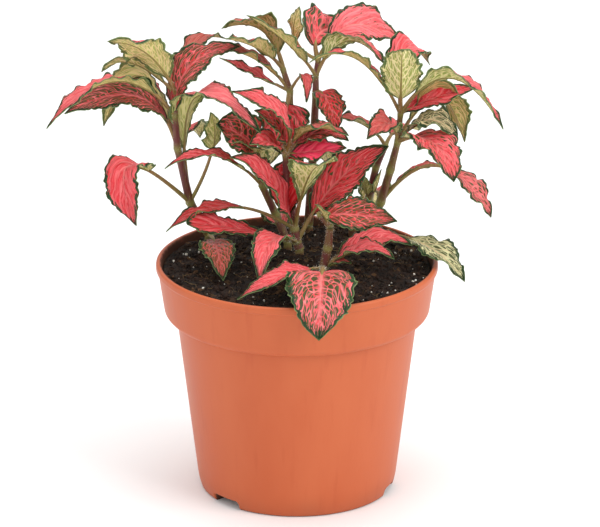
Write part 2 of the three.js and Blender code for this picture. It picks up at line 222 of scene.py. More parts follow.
def blade_effect() -> Effect:
    """Makes the net of a leaf: its veins, the islands between them and its margin.

    Place is the blade's own UV map, across in X and along in Y. Edge is the distance from the
    edge as a share of the margin's width, Seed differs from leaf to leaf, Veins counts the side
    veins and Islands says how large the green islands are.

    Returns:
        The effect, with a mask for each feature, streaks that run with the veins and a height.
    """
    effect = Effect(
        "Blade net",
        {"Place": "Vector", "Edge": "Float", "Seed": "Float", "Veins": "Float", "Islands": "Float"},
        {
            "Midrib": "Float", "Side Veins": "Float", "Net": "Float", "Island": "Float",
            "Margin": "Float", "Rim": "Float", "Streaks": "Float", "Ribs": "Float", "Height": "Float",
        },
    )
    wiring, given = effect.wiring, effect.given
    math_ = wiring.math
    across, along, _ = wiring.parts(given["Place"])
    side = math_("MULTIPLY_ADD", across, 2.0, -1.0)
    out = math_("ABSOLUTE", side)
    offset = math_("MULTIPLY", given["Seed"], 7.3)
    seeded = wiring.vector(side, math_("MULTIPLY", along, 2.6), offset)
    warp = math_("MULTIPLY_ADD", wiring.noise(seeded, 1.7, 1.0), 0.16, -0.08)
    curve = math_("MULTIPLY", out, math_("MULTIPLY_ADD", out, 0.2, 0.27))
    sweep = math_("ADD", math_("SUBTRACT", along, curve), warp)
    hand = math_("MULTIPLY", math_("SIGN", side), 0.24)

    count = math_("ADD", math_("MULTIPLY", sweep, given["Veins"]), hand)
    between = math_("PINGPONG", count, 0.5)
    thin = math_("MULTIPLY_ADD", out, -0.08, 0.2)
    ribs = wiring.ramp(between, 0.0, 0.5, 1.0, 0.0)
    side_veins = math_("SUBTRACT", 1.0, wiring.ramp(between, 0.01, thin))
    fade = wiring.ramp(out, 0.6, 0.98, 1.0, 0.25)
    side_veins = math_("MULTIPLY", side_veins, fade)
    slim = wiring.ramp(along, 0.0, 0.95, 0.085, 0.018)
    midrib = math_("SUBTRACT", 1.0, wiring.ramp(out, math_("MULTIPLY", slim, 0.3), slim))

    rows = math_("MULTIPLY", math_("MULTIPLY", sweep, given["Veins"]), 2.2)
    cells = wiring.vector(rows, math_("MULTIPLY", side, 5.6), offset)
    net_wiring = wiring.add(
        "TexVoronoi", {"Vector": cells, "Scale": 1.0, "Randomness": 0.85}, feature="DISTANCE_TO_EDGE"
    )
    inside = net_wiring.outputs["Distance"]
    net = math_("SUBTRACT", 1.0, wiring.ramp(inside, 0.02, 0.16))
    patchy = wiring.noise(wiring.vector(side, math_("MULTIPLY", along, 2.2), offset), 1.7, 1.0)
    outward = math_("MULTIPLY_ADD", math_("MULTIPLY", out, out), 0.3, -0.1)
    reach = math_("ADD", given["Islands"], math_("MULTIPLY_ADD", patchy, 0.4, -0.2))
    reach = math_("MULTIPLY_ADD", outward, math_("ADD", given["Islands"], 0.4), reach)
    shy = math_("MULTIPLY", wiring.ramp(along, 0.0, 0.22), wiring.ramp(out, 0.0, 0.16))
    edge_of = wiring.ramp(reach, 0.0, 1.0, 0.4, 0.05)
    island = wiring.ramp(inside, edge_of, math_("ADD", edge_of, 0.06))
    island = math_("MULTIPLY", island, math_("SUBTRACT", 1.0, math_("MULTIPLY", side_veins, 0.5)))
    island = math_("MULTIPLY", island, shy)

    torn = wiring.noise(wiring.vector(side, math_("MULTIPLY", along, 3.0), offset), 10.0, 3.0, 0.6)
    ragged = math_("MULTIPLY_ADD", torn, 1.8, -0.9)
    margin_at = math_("ADD", given["Edge"], ragged)
    margin_at = math_("ADD", margin_at, math_("MULTIPLY", net, 0.3))
    margin_at = math_("ADD", margin_at, math_("MULTIPLY", ribs, 0.5))
    margin = wiring.ramp(margin_at, 1.1, 1.3, 1.0, 0.0)
    rim = wiring.ramp(given["Edge"], 0.04, 0.2, 1.0, 0.0)

    run = wiring.vector(math_("MULTIPLY", sweep, 26.0), math_("MULTIPLY", side, 5.0), offset)
    streaks = wiring.ramp(wiring.noise(run, 1.0, 3.0, 0.65), 0.34, 0.66)

    puff = math_("MULTIPLY_ADD", wiring.ramp(inside, 0.0, 0.4), 0.35, math_("SUBTRACT", 1.0, ribs))
    height = math_("SUBTRACT", puff, math_("MULTIPLY", midrib, 0.8))
    for name, value in {
        "Midrib": midrib, "Side Veins": side_veins, "Net": net, "Island": island, "Margin": margin,
        "Rim": rim, "Streaks": streaks, "Ribs": ribs, "Height": height,
    }.items():
        wiring.put(effect.result[name], value)
    return effect


@dataclass(frozen=True)
class Effects:
    """The effects that the finishes share."""

    mottling: Effect
    blade: Effect


class Finish:
    """A material with one Principled shader, which the kinds of finish wire up."""

    name: str

    def make(self, effects: Effects) -> bpy.types.Material:
        """Makes the material.

        Args:
            effects: The shared effects.

        Returns:
            The finished material.
        """
        material = bpy.data.materials.new(self.name)
        material.use_nodes = True
        tree = material.node_tree
        tree.nodes.clear()
        wiring = Wiring(tree)
        shader = wiring.add("BsdfPrincipled")
        wiring.add("OutputMaterial", {"Surface": shader.outputs[0]})
        self.wire(wiring, shader, effects)
        return material

    def wire(self, wiring: Wiring, shader: bpy.types.Node, effects: Effects) -> None:
        """Joins this finish's nodes to the shader."""
        raise NotImplementedError

    @staticmethod
    def dress(wiring: Wiring, shader: bpy.types.Node, base: Value, rough: Value, gloss: float = 0.5) -> None:
        """Gives the shader its colour, its roughness and how much it mirrors."""
        wiring.put(shader.inputs["Base Color"], base)
        wiring.put(shader.inputs["Roughness"], rough)
        shader.inputs["Specular IOR Level"].default_value = gloss

    @staticmethod
    def here(wiring: Wiring) -> bpy.types.NodeSocket:
        """Gives the piece's own coordinates, in metres."""
        return wiring.add("TexCoord").outputs["Object"]

    @staticmethod
    def bump(wiring: Wiring, shader: bpy.types.Node, height: Value, depth: float, strength: float) -> None:
        """Raises the surface by a height, at its highest by a depth in metres."""
        inputs = {"Height": height, "Distance": depth, "Strength": strength}
        wiring.put(shader.inputs["Normal"], wiring.add("Bump", inputs).outputs[0])


@dataclass(frozen=True)
class MouldedPlastic(Finish):
    """The pot's smooth terracotta-coloured plastic, with faint flow marks, soil dust and painted shade on
    the inside of the wall.
    """

    name: str = "moulded_plastic"
    colour: Colour = paint(186, 89, 50)
    warm: Colour = paint(194, 100, 61)
    deep: Colour = paint(168, 70, 38)
    # inner is the deep red-brown of the painted shade on the inside of the wall.
    inner: Colour = paint(92, 42, 27)
    dust: Colour = paint(70, 50, 38)
    roughness: float = 0.42
    soil_line: float = 0.0985
    splash_drop: float = 0.002  # how far under the soil line the smears lie on average
    band_bottom: float = 0.0785
    body_wall: tuple[float, float] = (0.1214, 0.0411)  # slope and radius at the foot, inside
    band_wall: tuple[float, float] = (0.16, 0.0424)

    def wire(self, wiring: Wiring, shader: bpy.types.Node, effects: Effects) -> None:
        """Joins this finish's nodes to the shader."""
        here = self.here(wiring)
        x, y, z = wiring.parts(here)
        flow = wiring.stretch(here, (1.0, 1.0, 0.35))
        marks = effects.mottling.place(
            wiring, {"Place": flow, "Patch Scale": 22.0, "Grain Scale": 900.0, "Softness": 0.5}
        )
        base = wiring.blend(marks["Patches"], self.colour, self.warm)
        drawn = wiring.noise(wiring.stretch(here, (260.0, 260.0, 5.0)), 1.0, 2.0)
        base = wiring.blend(wiring.ramp(drawn, 0.55, 0.8, 0.0, 0.25), base, self.deep)
        squares = [wiring.math("MULTIPLY", part, part) for part in (x, y)]
        radius = wiring.math("SQRT", wiring.math("ADD", *squares))
        band = wiring.math("GREATER_THAN", z, self.band_bottom)
        body_wall, band_wall = (
            wiring.math("MULTIPLY_ADD", z, *wall) for wall in (self.body_wall, self.band_wall)
        )
        slope = wiring.math("MAXIMUM", body_wall, wiring.math("MULTIPLY", band, band_wall))
        within = wiring.ramp(wiring.math("SUBTRACT", slope, radius), -0.0002, 0.0006)
        smear = wiring.noise(here, 260.0, 3.0, 0.65)
        level = wiring.math("MULTIPLY_ADD", smear, 0.008, self.soil_line - self.splash_drop)
        below = wiring.ramp(wiring.math("SUBTRACT", level, z), -0.0012, 0.0012)
        splash = wiring.math("MULTIPLY", within, below)
        # Painted shade: the inside of the wall is darkened towards the deep red-brown inner colour.
        base = wiring.blend(wiring.math("MULTIPLY", within, 0.8), base, self.inner)
        base = wiring.blend(wiring.math("MULTIPLY", splash, 0.8), base, self.dust)
        specks = wiring.ramp(wiring.noise(here, 1400.0, 1.0), 0.72, 0.8)
        low = wiring.ramp(z, 0.012, 0.001)
        grime = wiring.math("MULTIPLY", wiring.math("MAXIMUM", specks, marks["Patches"]), low)
        base = wiring.blend(wiring.math("MULTIPLY", grime, 0.22), base, self.dust)
        rough = wiring.ramp(marks["Patches"], 0.0, 1.0, self.roughness - 0.04, self.roughness + 0.08)
        rough = wiring.math("MULTIPLY_ADD", splash, 0.35, rough, clamp=True)
        self.dress(wiring, shader, base, rough, 0.3)
        shader.inputs["IOR"].default_value = 1.49
        height = wiring.math("MULTIPLY_ADD", marks["Patches"], 0.8, marks["Grain"])
        self.bump(wiring, shader, height, 0.00006, 0.5)


@dataclass(frozen=True)
class Peat(Finish):
    """Dark moist peat, each crumb a shade of its own."""

    name: str = "peat"
    dark: Colour = paint(21, 14, 11)
    brown: Colour = paint(52, 33, 23)
    dry: Colour = paint(118, 84, 54)

    def wire(self, wiring: Wiring, shader: bpy.types.Node, effects: Effects) -> None:
        """Joins this finish's nodes to the shader."""
        here = self.here(wiring)
        lumps = effects.mottling.place(
            wiring, {"Place": here, "Patch Scale": 330.0, "Grain Scale": 2600.0, "Softness": 0.34}
        )
        crumbs = wiring.add("TexVoronoi", {"Vector": here, "Scale": 420.0}).outputs["Color"]
        shade = wiring.parts(crumbs)[0]
        base = wiring.blend(lumps["Patches"], self.dark, self.brown)
        base = wiring.blend(wiring.ramp(shade, 0.84, 1.0, 0.0, 0.6), base, self.dry)
        base = wiring.blend(wiring.ramp(lumps["Grain"], 0.45, 0.7, 0.0, 0.5), base, self.dark)
        self.dress(wiring, shader, base, wiring.ramp(lumps["Patches"], 0.0, 1.0, 0.72, 0.95), 0.3)
        self.bump(wiring, shader, lumps["Grain"], 0.0004, 0.9)


@dataclass(frozen=True)
class Grain(Finish):
    """One dull grainy stuff in two shades, for perlite and dry fibres."""

    name: str
    light: Colour
    shaded: Colour
    scale: float
    depth: float

    def wire(self, wiring: Wiring, shader: bpy.types.Node, effects: Effects) -> None:
        """Joins this finish's nodes to the shader."""
        here = self.here(wiring)
        marks = effects.mottling.place(
            wiring,
            {"Place": here, "Patch Scale": self.scale, "Grain Scale": self.scale * 5, "Softness": 0.5},
        )
        base = wiring.blend(marks["Patches"], self.light, self.shaded)
        self.dress(wiring, shader, base, wiring.ramp(marks["Grain"], 0.0, 1.0, 0.8, 0.95))
        self.bump(wiring, shader, marks["Grain"], self.depth, 0.8)


@dataclass(frozen=True)
class Blade(Finish):
    """What both faces of a leaf share: the net effect, fed by the leaf's own attributes."""

    roughness: float = 0.46

    def net(self, wiring: Wiring, effects: Effects, islands: Value) -> bpy.types.bpy_prop_collection:
        """Places the net effect with the leaf's own numbers."""
        edge, seed, veins = wiring.attribute("spot")
        place = wiring.add("UVMap", uv_map="blade").outputs[0]
        return effects.blade.place(
            wiring, {"Place": place, "Edge": edge, "Seed": seed, "Veins": veins, "Islands": islands}
        )


@dataclass(frozen=True)
class UpperFace(Blade):
    """A leaf's upper face: coral to pink, with dark green islands, a green margin and a brown tone that is
    partly painted shade.
    """

    name: str = "leaf_upper"
    coral: Colour = paint(206, 38, 46)
    pink: Colour = paint(244, 130, 134)
    cream: Colour = paint(226, 224, 172)
    hot: Colour = paint(236, 52, 92)
    vein: Colour = paint(246, 158, 148)
    island: Colour = paint(50, 80, 32)
    shadow: Colour = paint(24, 42, 20)
    dusky_and_shade: Colour = paint(124, 82, 48)
    margin: Colour = paint(38, 70, 30)
    rim: Colour = paint(150, 170, 110)

    def wire(self, wiring: Wiring, shader: bpy.types.Node, effects: Effects) -> None:
        """Joins this finish's nodes to the shader."""
        green, blush, dusk_and_shade = wiring.attribute("upper")
        net = self.net(wiring, effects, green)
        math_ = wiring.math
        pale = math_("MULTIPLY_ADD", net["Ribs"], 0.16, math_("MULTIPLY", net["Streaks"], 0.5))
        pale = math_("MULTIPLY_ADD", green, 0.1, pale)
        pale = math_("ADD", pale, math_("MULTIPLY_ADD", blush, 0.9, -0.3), clamp=True)
        base = wiring.blend(pale, self.coral, self.pink)
        base = wiring.blend(wiring.ramp(blush, 0.9, 1.1), base, self.cream)
        base = wiring.blend(math_("MULTIPLY", dusk_and_shade, -0.9, clamp=True), base, self.hot)
        lines = math_("MULTIPLY", net["Side Veins"], 0.22)
        lines = math_("MAXIMUM", lines, math_("MULTIPLY", net["Midrib"], 0.4))
        base = wiring.blend(lines, base, self.vein)
        leaf = wiring.blend(math_("MULTIPLY", net["Streaks"], 0.7), self.island, self.shadow)
        base = wiring.blend(math_("MULTIPLY", net["Island"], 0.95), base, leaf)
        # Brown tone per leaf, partly painted shade that darkens the leaves sitting in shadow.
        base = wiring.blend(math_("MULTIPLY", dusk_and_shade, 0.9, clamp=True), base, self.dusky_and_shade)
        edge = wiring.blend(net["Streaks"], self.margin, self.shadow)
        base = wiring.blend(net["Margin"], base, edge)
        base = wiring.blend(math_("MULTIPLY", net["Rim"], 0.5), base, self.rim)
        self.dress(wiring, shader, base, wiring.ramp(net["Island"], 0.0, 1.0, self.roughness, 0.4), 0.28)
        self.bump(wiring, shader, net["Height"], 0.0004, 0.8)


@dataclass(frozen=True)
class LowerFace(Blade):
    """A leaf's underside: pale yellow-green with a raised cream to orange net."""

    name: str = "leaf_lower"
    straw: Colour = paint(226, 226, 138)
    green: Colour = paint(104, 134, 50)
    flush: Colour = paint(220, 140, 104)
    cream: Colour = paint(252, 244, 190)
    amber: Colour = paint(222, 150, 98)
    margin: Colour = paint(60, 94, 42)
    rim: Colour = paint(176, 190, 136)

    def wire(self, wiring: Wiring, shader: bpy.types.Node, effects: Effects) -> None:
        """Joins this finish's nodes to the shader."""
        green, flush, cream = wiring.attribute("lower")
        net = self.net(wiring, effects, 0.8)
        math_ = wiring.math
        deep = math_("MULTIPLY_ADD", net["Island"], 0.4, math_("MULTIPLY", green, 0.55), clamp=True)
        base = wiring.blend(deep, self.straw, self.green)
        blotch = math_("MULTIPLY", flush, math_("MULTIPLY_ADD", net["Streaks"], 0.4, 0.1))
        base = wiring.blend(blotch, base, self.flush)
        lines = math_("MAXIMUM", net["Side Veins"], math_("MULTIPLY", net["Net"], 0.8))
        lines = math_("MAXIMUM", lines, net["Midrib"])
        thread = wiring.blend(flush, self.cream, self.amber)
        base = wiring.blend(math_("MULTIPLY", lines, math_("MULTIPLY_ADD", cream, 0.6, 0.35)), base, thread)
        base = wiring.blend(math_("MULTIPLY", net["Margin"], 0.85), base, self.margin)
        base = wiring.blend(math_("MULTIPLY", net["Rim"], 0.4), base, self.rim)
        self.dress(wiring, shader, base, wiring.ramp(net["Net"], 0.0, 1.0, 0.6, self.roughness), 0.3)
        veins = math_("MAXIMUM", net["Side Veins"], net["Midrib"])
        raised = math_("MAXIMUM", veins, math_("MULTIPLY", net["Net"], 0.6))
        self.bump(wiring, shader, raised, 0.0003, 0.8)


@dataclass(frozen=True)
class StemSkin(Finish):
    """The skin of stems and stalks: purple-brown, green at the joints and streaked along."""

    name: str = "stem_skin"
    brown: Colour = paint(108, 52, 50)
    olive: Colour = paint(140, 136, 66)
    joint: Colour = paint(146, 150, 76)
    rosy: Colour = paint(204, 116, 104)
    roughness: float = 0.48

    def wire(self, wiring: Wiring, shader: bpy.types.Node, effects: Effects) -> None:
        """Joins this finish's nodes to the shader."""
        joint, green, rosy = wiring.attribute("skin")
        streaky = wiring.stretch(self.here(wiring), (1.0, 1.0, 0.16))
        marks = effects.mottling.place(
            wiring, {"Place": streaky, "Patch Scale": 700.0, "Grain Scale": 2600.0, "Softness": 0.5}
        )
        patches = wiring.math("MULTIPLY_ADD", marks["Patches"], 0.6, -0.42)
        share = wiring.math("ADD", patches, green, clamp=True)
        base = wiring.blend(share, self.brown, self.olive)
        base = wiring.blend(rosy, base, self.rosy)
        base = wiring.blend(joint, base, self.joint)
        rough = wiring.ramp(marks["Grain"], 0.0, 1.0, self.roughness - 0.06, self.roughness + 0.12)
        self.dress(wiring, shader, base, rough)
        self.bump(wiring, shader, marks["Grain"], 0.00012, 0.6)


@dataclass(frozen=True)
class HairWhite(Finish):
    """The fine white hairs, a little warmer in places."""

    name: str = "hair_white"
    white: Colour = paint(236, 232, 220)
    warm: Colour = paint(214, 200, 172)

    def wire(self, wiring: Wiring, shader: bpy.types.Node, effects: Effects) -> None:
        """Joins this finish's nodes to the shader."""
        shade = wiring.ramp(wiring.noise(self.here(wiring), 800.0, 1.0), 0.35, 0.65)
        base = wiring.blend(shade, self.white, self.warm)
        self.dress(wiring, shader, base, wiring.ramp(shade, 0.0, 1.0, 0.5, 0.65))


@dataclass(frozen=True)
class StudioFloor(Finish):
    """The plain pale floor."""

    name: str = "studio_floor"
    pale: Colour = paint(246, 246, 246)

    def wire(self, wiring: Wiring, shader: bpy.types.Node, effects: Effects) -> None:
        """Joins this finish's nodes to the shader."""
        self.dress(wiring, shader, self.pale, 0.9)


# ---------------------------------------------------------------- shaping helpers


def finished(
    name: str,
    bm: bmesh.types.BMesh,
    materials: Iterable[bpy.types.Material],
    smooth: bool = True,
) -> bpy.types.Object:
    """Turns a mesh in millimetres into a piece in metres.

    Args:
        name: The piece's name.
        bm: The mesh, which is freed.
        materials: The piece's materials.
        smooth: Whether its faces are shaded smooth.

    Returns:
        The new object, linked to the scene.
    """
    bmesh.ops.scale(bm, vec=(MM, MM, MM), verts=bm.verts)
    for face in bm.faces:
        face.smooth = smooth
    mesh = bpy.data.meshes.new(name)
    bm.to_mesh(mesh)
    bm.free()
    piece = bpy.data.objects.new(name, mesh)
    bpy.context.scene.collection.objects.link(piece)
    for material in materials:
        mesh.materials.append(material)
    return piece


def ridden(piece: bpy.types.Object, slot: Slot, *nodes: str) -> bpy.types.Object:
    """Makes a piece ride on the body and hides the nodes that it stands for.

    Args:
        piece: The finished piece.
        slot: Not used.
        *nodes: The nodes that it replaces.

    Returns:
        The same piece.
    """
    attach(piece, BODY)
    if nodes:
        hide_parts(*nodes)
    LOG.info("%s: %d faces", piece.name, len(piece.data.polygons))
    return piece


class Strewn:
    """Collects many small shapes in batches, because an operator slows with the size of its mesh."""

    BATCH = 25

    def __init__(self) -> None:
        """Starts the first batch."""
        self.batch = bmesh.new()
        self.count = 0
        self.meshes: list[bpy.types.Mesh] = []

    def next(self) -> bmesh.types.BMesh:
        """Gives the mesh that the next shape goes to."""
        if self.count == self.BATCH:
            self.store()
        self.count += 1
        return self.batch

    def store(self) -> None:
        """Puts the batch away and starts another."""
        mesh = bpy.data.meshes.new("batch")
        self.batch.to_mesh(mesh)
        self.meshes.append(mesh)
        self.batch.clear()
        self.count = 0

    def joined(self) -> bmesh.types.BMesh:
        """Joins all batches.

        Returns:
            One mesh of every shape.
        """
        self.store()
        self.batch.free()
        bm = bmesh.new()
        for mesh in self.meshes:
            bm.from_mesh(mesh)
            bpy.data.meshes.remove(mesh)
        return bm


def eased(rows: Sequence[Sequence[float]], at: float, column: int) -> float:
    """Reads a table smoothly between its rows.

    Args:
        rows: Rows whose first number rises from 0 to 1.
        at: Where to read it.
        column: The column to read.

    Returns:
        The value there.
    """
    at = min(max(at, 0.0), 1.0)
    last = len(rows) - 1
    i = next((k for k in range(last) if at <= rows[k + 1][0]), last - 1)

    def slope(k: int) -> float:
        """Gives the table's slope at a row."""
        before, after = max(k - 1, 0), min(k + 1, last)
        return (rows[after][column] - rows[before][column]) / (rows[after][0] - rows[before][0])

    span = rows[i + 1][0] - rows[i][0]
    t = (at - rows[i][0]) / span
    start, end = rows[i][column], rows[i + 1][column]
    rise = (2 * t**3 - 3 * t**2 + 1) * start + (3 * t**2 - 2 * t**3) * end
    return rise + span * ((t**3 - 2 * t**2 + t) * slope(i) + (t**3 - t**2) * slope(i + 1))


class Bow:
    """The curve that a leaf's middle follows, read by its length as in the part's source."""

    STEPS = 200

    def __init__(self, base: Vector, over: Vector, tip: Vector) -> None:
        """Measures the curve from its base, past the point it bends towards, to its tip."""
        self.base, self.over, self.tip = base, over, tip
        self.lengths = [0.0]
        before = base
        for i in range(1, self.STEPS + 1):
            here = self.point(i / self.STEPS)
            self.lengths.append(self.lengths[-1] + (here - before).length)
            before = here
        self.length = self.lengths[-1]
        flat = Vector((base.y - tip.y, tip.x - base.x, 0.0))
        self.across = flat.normalized()

    def point(self, t: float) -> Vector:
        """Gives the point at a curve parameter."""
        return self.base * (1 - t) ** 2 + self.over * (2 * t * (1 - t)) + self.tip * t**2

    def parameter(self, share: float) -> float:
        """Turns a share of the length into the curve parameter.

        Args:
            share: Share of the length, 0 to 1.

        Returns:
            The parameter there.
        """
        wanted = share * self.length
        low, high = 0, self.STEPS
        while high - low > 1:
            middle = (low + high) // 2
            low, high = (middle, high) if self.lengths[middle] <= wanted else (low, middle)
        step = self.lengths[high] - self.lengths[low]
        return (low + (wanted - self.lengths[low]) / step) / self.STEPS

    def frame(self, share: float, turn: float) -> Matrix:
        """Gives the place and directions at a share of the length.

        Args:
            share: Share of the length, 0 to 1.
            turn: How far the blade is rolled there, in degrees.

        Returns:
            A matrix with X across the blade, Y along it and Z off its upper face.
        """
        t = self.parameter(min(max(share, 0.0), 1.0))
        along = ((self.over - self.base) * (1 - t) + (self.tip - self.over) * t).normalized()
        side = (self.across - along * self.across.dot(along)).normalized()
        side.rotate(Quaternion(along, math.radians(turn)))
        up = along.cross(side).normalized()
        made = Matrix((side, along, up)).transposed().to_4x4()
        made.translation = self.point(t)
        return made


def tube(
    bm: bmesh.types.BMesh, stations: Sequence[tuple[Matrix, float]], sides: int
) -> list[list[bmesh.types.BMVert]]:
    """Extrudes a ring along a row of stations and closes both ends.

    Args:
        bm: The mesh that it goes to.
        stations: The frame of each station, whose Y runs along the tube, and its radius.
        sides: Number of sides.

    Returns:
        The ring of vertices at each station.
    """
    upright = Matrix.Rotation(math.radians(-90), 4, "X")

    def ring_frame(i: int) -> Matrix:
        """Gives the matrix that puts a unit ring at a station."""
        place, radius = stations[i]
        return place @ upright @ Matrix.Scale(radius, 4)

    ring = bmesh.ops.create_circle(bm, segments=sides, radius=1.0, matrix=ring_frame(0))["verts"]
    edges = list({edge for vert in ring for edge in vert.link_edges})
    rings = [list(ring)]
    first_edges = edges
    for i in range(1, len(stations)):
        made = bmesh.ops.extrude_edge_only(bm, edges=edges)["geom"]
        verts = [v for v in made if isinstance(v, bmesh.types.BMVert)]
        edges = [
            e for e in made
            if isinstance(e, bmesh.types.BMEdge) and all(v in verts for v in e.verts)
        ]
        step = ring_frame(i) @ ring_frame(i - 1).inverted()
        bmesh.ops.transform(bm, matrix=step, verts=verts)
        rings.append(verts)
    bmesh.ops.contextual_create(bm, geom=first_edges)
    bmesh.ops.contextual_create(bm, geom=edges)
    return rings


def turned(bm: bmesh.types.BMesh, section: list[Any], steps: int) -> None:
    """Spins a section, as vertices and edges, round the upright axis into a closed form."""
    bmesh.ops.spin(
        bm, geom=section, cent=(0, 0, 0), axis=(0, 0, 1), dvec=(0, 0, 0),
        angle=math.tau, steps=steps, use_merge=True, use_normal_flip=False,
    )
    bmesh.ops.remove_doubles(bm, verts=bm.verts, dist=1e-4)
    bmesh.ops.recalc_face_normals(bm, faces=bm.faces)


# ---------------------------------------------------------------- the pot


@dataclass
class GrowersPot:
    """The round nursery pot: one moulding with a deep rim band, foot notches and drain holes."""

    height: float = 101.0
    rim_radius: float = 60.0
    band_bottom: float = 79.0
    band_radius: float = 56.4
    shoulder_radius: float = 51.3
    foot_radius: float = 41.0
    foot_width: float = 4.6
    wall: float = 1.7
    recess: float = 4.0
    floor_top: float = 6.2
    pad_radius: float = 14.0
    notch_width: float = 15.0
    notch_height: float = 4.0
    notch_depth: float = 9.0
    notch_angles: tuple[float, ...] = (-136.5, -16.5, 103.5)
    drain_radius: float = 4.0
    drain_distance: float = 25.0
    drain_angles: tuple[float, ...] = (-76.5, 43.5, 163.5)
    sides: int = 160

    def profile(self) -> list[tuple[float, float, float]]:
        """Lists the corners of the pot's section.

        Returns:
            Radius, height and how far each corner is rounded, from the underside's middle
            round the outside to the floor's middle.
        """
        top, band, foot = self.height, self.band_bottom, self.foot_radius
        inner = foot - self.foot_width
        shoulder = self.shoulder_radius
        return [
            (0, 0, 0), (self.pad_radius, 0, 0.5), (self.pad_radius + 0.5, self.recess, 0.5),
            (inner - 0.5, self.recess, 0.6), (inner, 0, 0.5), (foot + 0.2, 0, 1.0),
            (foot + 1.5, 4.2, 2.2),
            (shoulder + 0.15, band - 1.5, 0.6),
            (self.band_radius - 1.6, band - 1.1, 0.6), (self.band_radius + 0.1, band + 0.7, 0.8),
            (self.rim_radius - 0.9, top - 3.6, 0.5), (self.rim_radius + 0.05, top - 2.9, 0.5),
            (self.rim_radius, top - 0.1, 0.85), (self.rim_radius - 2.1, top, 0.8),
            (self.rim_radius - 2.5, top - 2.6, 0.8),
            (self.band_radius - self.wall, band + 1.6, 0.5),
            (shoulder - self.wall, band - 0.4, 0.5),
            (foot + 0.2, self.floor_top + 1.8, 1.0), (foot - 1.2, self.floor_top, 1.0),
            (0, self.floor_top, 0),
        ]

    def section(self, bm: bmesh.types.BMesh) -> list[Any]:
        """Draws the section as a row of edges with rounded corners.

        Args:
            bm: The mesh that it goes to.

        Returns:
            Its vertices and edges.
        """
        corners = self.profile()
        verts = [bm.verts.new((radius, 0.0, z)) for radius, z, _ in corners]
        for a, b in zip(verts, verts[1:]):
            bm.edges.new((a, b))
        for vert, (_, _, rounding) in zip(verts, corners):
            if rounding:
                bmesh.ops.bevel(
                    bm, geom=[vert], offset=rounding, affect="VERTICES", segments=4, profile=0.5,
                    material=-1, clamp_overlap=True,
                )
        return list(bm.verts) + list(bm.edges)

    def build(self, effects: Effects) -> bpy.types.Object:
        """Builds and dresses the pot.

        Args:
            effects: The shared effects.

        Returns:
            The piece.
        """
        bm = bmesh.new()
        turned(bm, self.section(bm), self.sides)
        pot = finished("growers_pot", bm, [MouldedPlastic().make(effects)])
        self.cut(pot, self.notch_cutter())
        self.cut(pot, self.drain_cutter())
        return ridden(pot, Slot.POT, "pot")

    def notch_cutter(self) -> bpy.types.Object:
        """Makes the three blocks with rounded upper corners that cut the foot.

        Returns:
            The cutting object.
        """
        bm = bmesh.new()
        size = (self.notch_depth, self.notch_width, 2 * self.notch_height)
        for angle in self.notch_angles:
            block = bmesh.ops.create_cube(bm, size=1.0)["verts"]
            bmesh.ops.scale(bm, vec=size, verts=block)
            uprights = [
                edge for edge in {e for v in block for e in v.link_edges}
                if abs(edge.verts[0].co.x - edge.verts[1].co.x) > 1 and edge.verts[0].co.z > 0
            ]
            made = bmesh.ops.bevel(
                bm, geom=uprights, offset=1.6, affect="EDGES", segments=4, profile=0.5, material=-1
            )
            block = list({v for v in block if v.is_valid} | set(made["verts"]))
            out = Vector((self.foot_radius - self.foot_width / 4, 0, 0))
            bmesh.ops.translate(bm, vec=out, verts=block)
            turn = Matrix.Rotation(math.radians(angle), 3, "Z")
            bmesh.ops.rotate(bm, cent=(0, 0, 0), matrix=turn, verts=block)
        return finished("notches", bm, [])

    def drain_cutter(self) -> bpy.types.Object:
        """Makes the three posts that cut the drain holes.

        Returns:
            The cutting object.
        """
        bm = bmesh.new()
        for angle in self.drain_angles:
            place = Matrix.Rotation(math.radians(angle), 4, "Z") @ Matrix.Translation(
                (self.drain_distance, 0, self.floor_top / 2)
            )
            bmesh.ops.create_cone(
                bm, cap_ends=True, segments=28, radius1=self.drain_radius,
                radius2=self.drain_radius, depth=2 * self.floor_top, matrix=place,
            )
        return finished("drains", bm, [])

    @staticmethod
    def cut(piece: bpy.types.Object, cutter: bpy.types.Object) -> None:
        """Takes one object out of a piece and removes the cutter."""
        modifier = piece.modifiers.new("cut", "BOOLEAN")
        modifier.object, modifier.operation, modifier.solver = cutter, "DIFFERENCE", "EXACT"
        seen = piece.evaluated_get(bpy.context.evaluated_depsgraph_get())
        mesh = bpy.data.meshes.new_from_object(seen)
        piece.modifiers.clear()
        piece.data = mesh
        bpy.data.objects.remove(cutter)


# ---------------------------------------------------------------- the soil


# These call their operators on the spot: kept in module-level partials, they failed in some runs.
def round_grain(bm: bmesh.types.BMesh, matrix: Matrix) -> dict[str, Any]:
    """Makes a round grain of radius 1 at a matrix."""
    return bmesh.ops.create_uvsphere(bm, u_segments=7, v_segments=5, radius=1.0, matrix=matrix)


def coarse_grain(bm: bmesh.types.BMesh, matrix: Matrix) -> dict[str, Any]:
    """Makes a grain of few faces and radius 1 at a matrix."""
    return bmesh.ops.create_icosphere(bm, subdivisions=1, radius=1.0, matrix=matrix)


@dataclass(frozen=True)
class Grains:
    """One kind of grain strewn on the soil.

    ball makes a grain of radius 1 at a matrix. lumpy is how uneven they are and sink how far
    their middles lie over the soil, both as a share of the radius.
    """

    name: str
    count: int
    sizes: tuple[float, float]
    ball: Callable[[bmesh.types.BMesh, Matrix], dict[str, Any]]
    lumpy: float
    sink: float
    smooth: bool = False


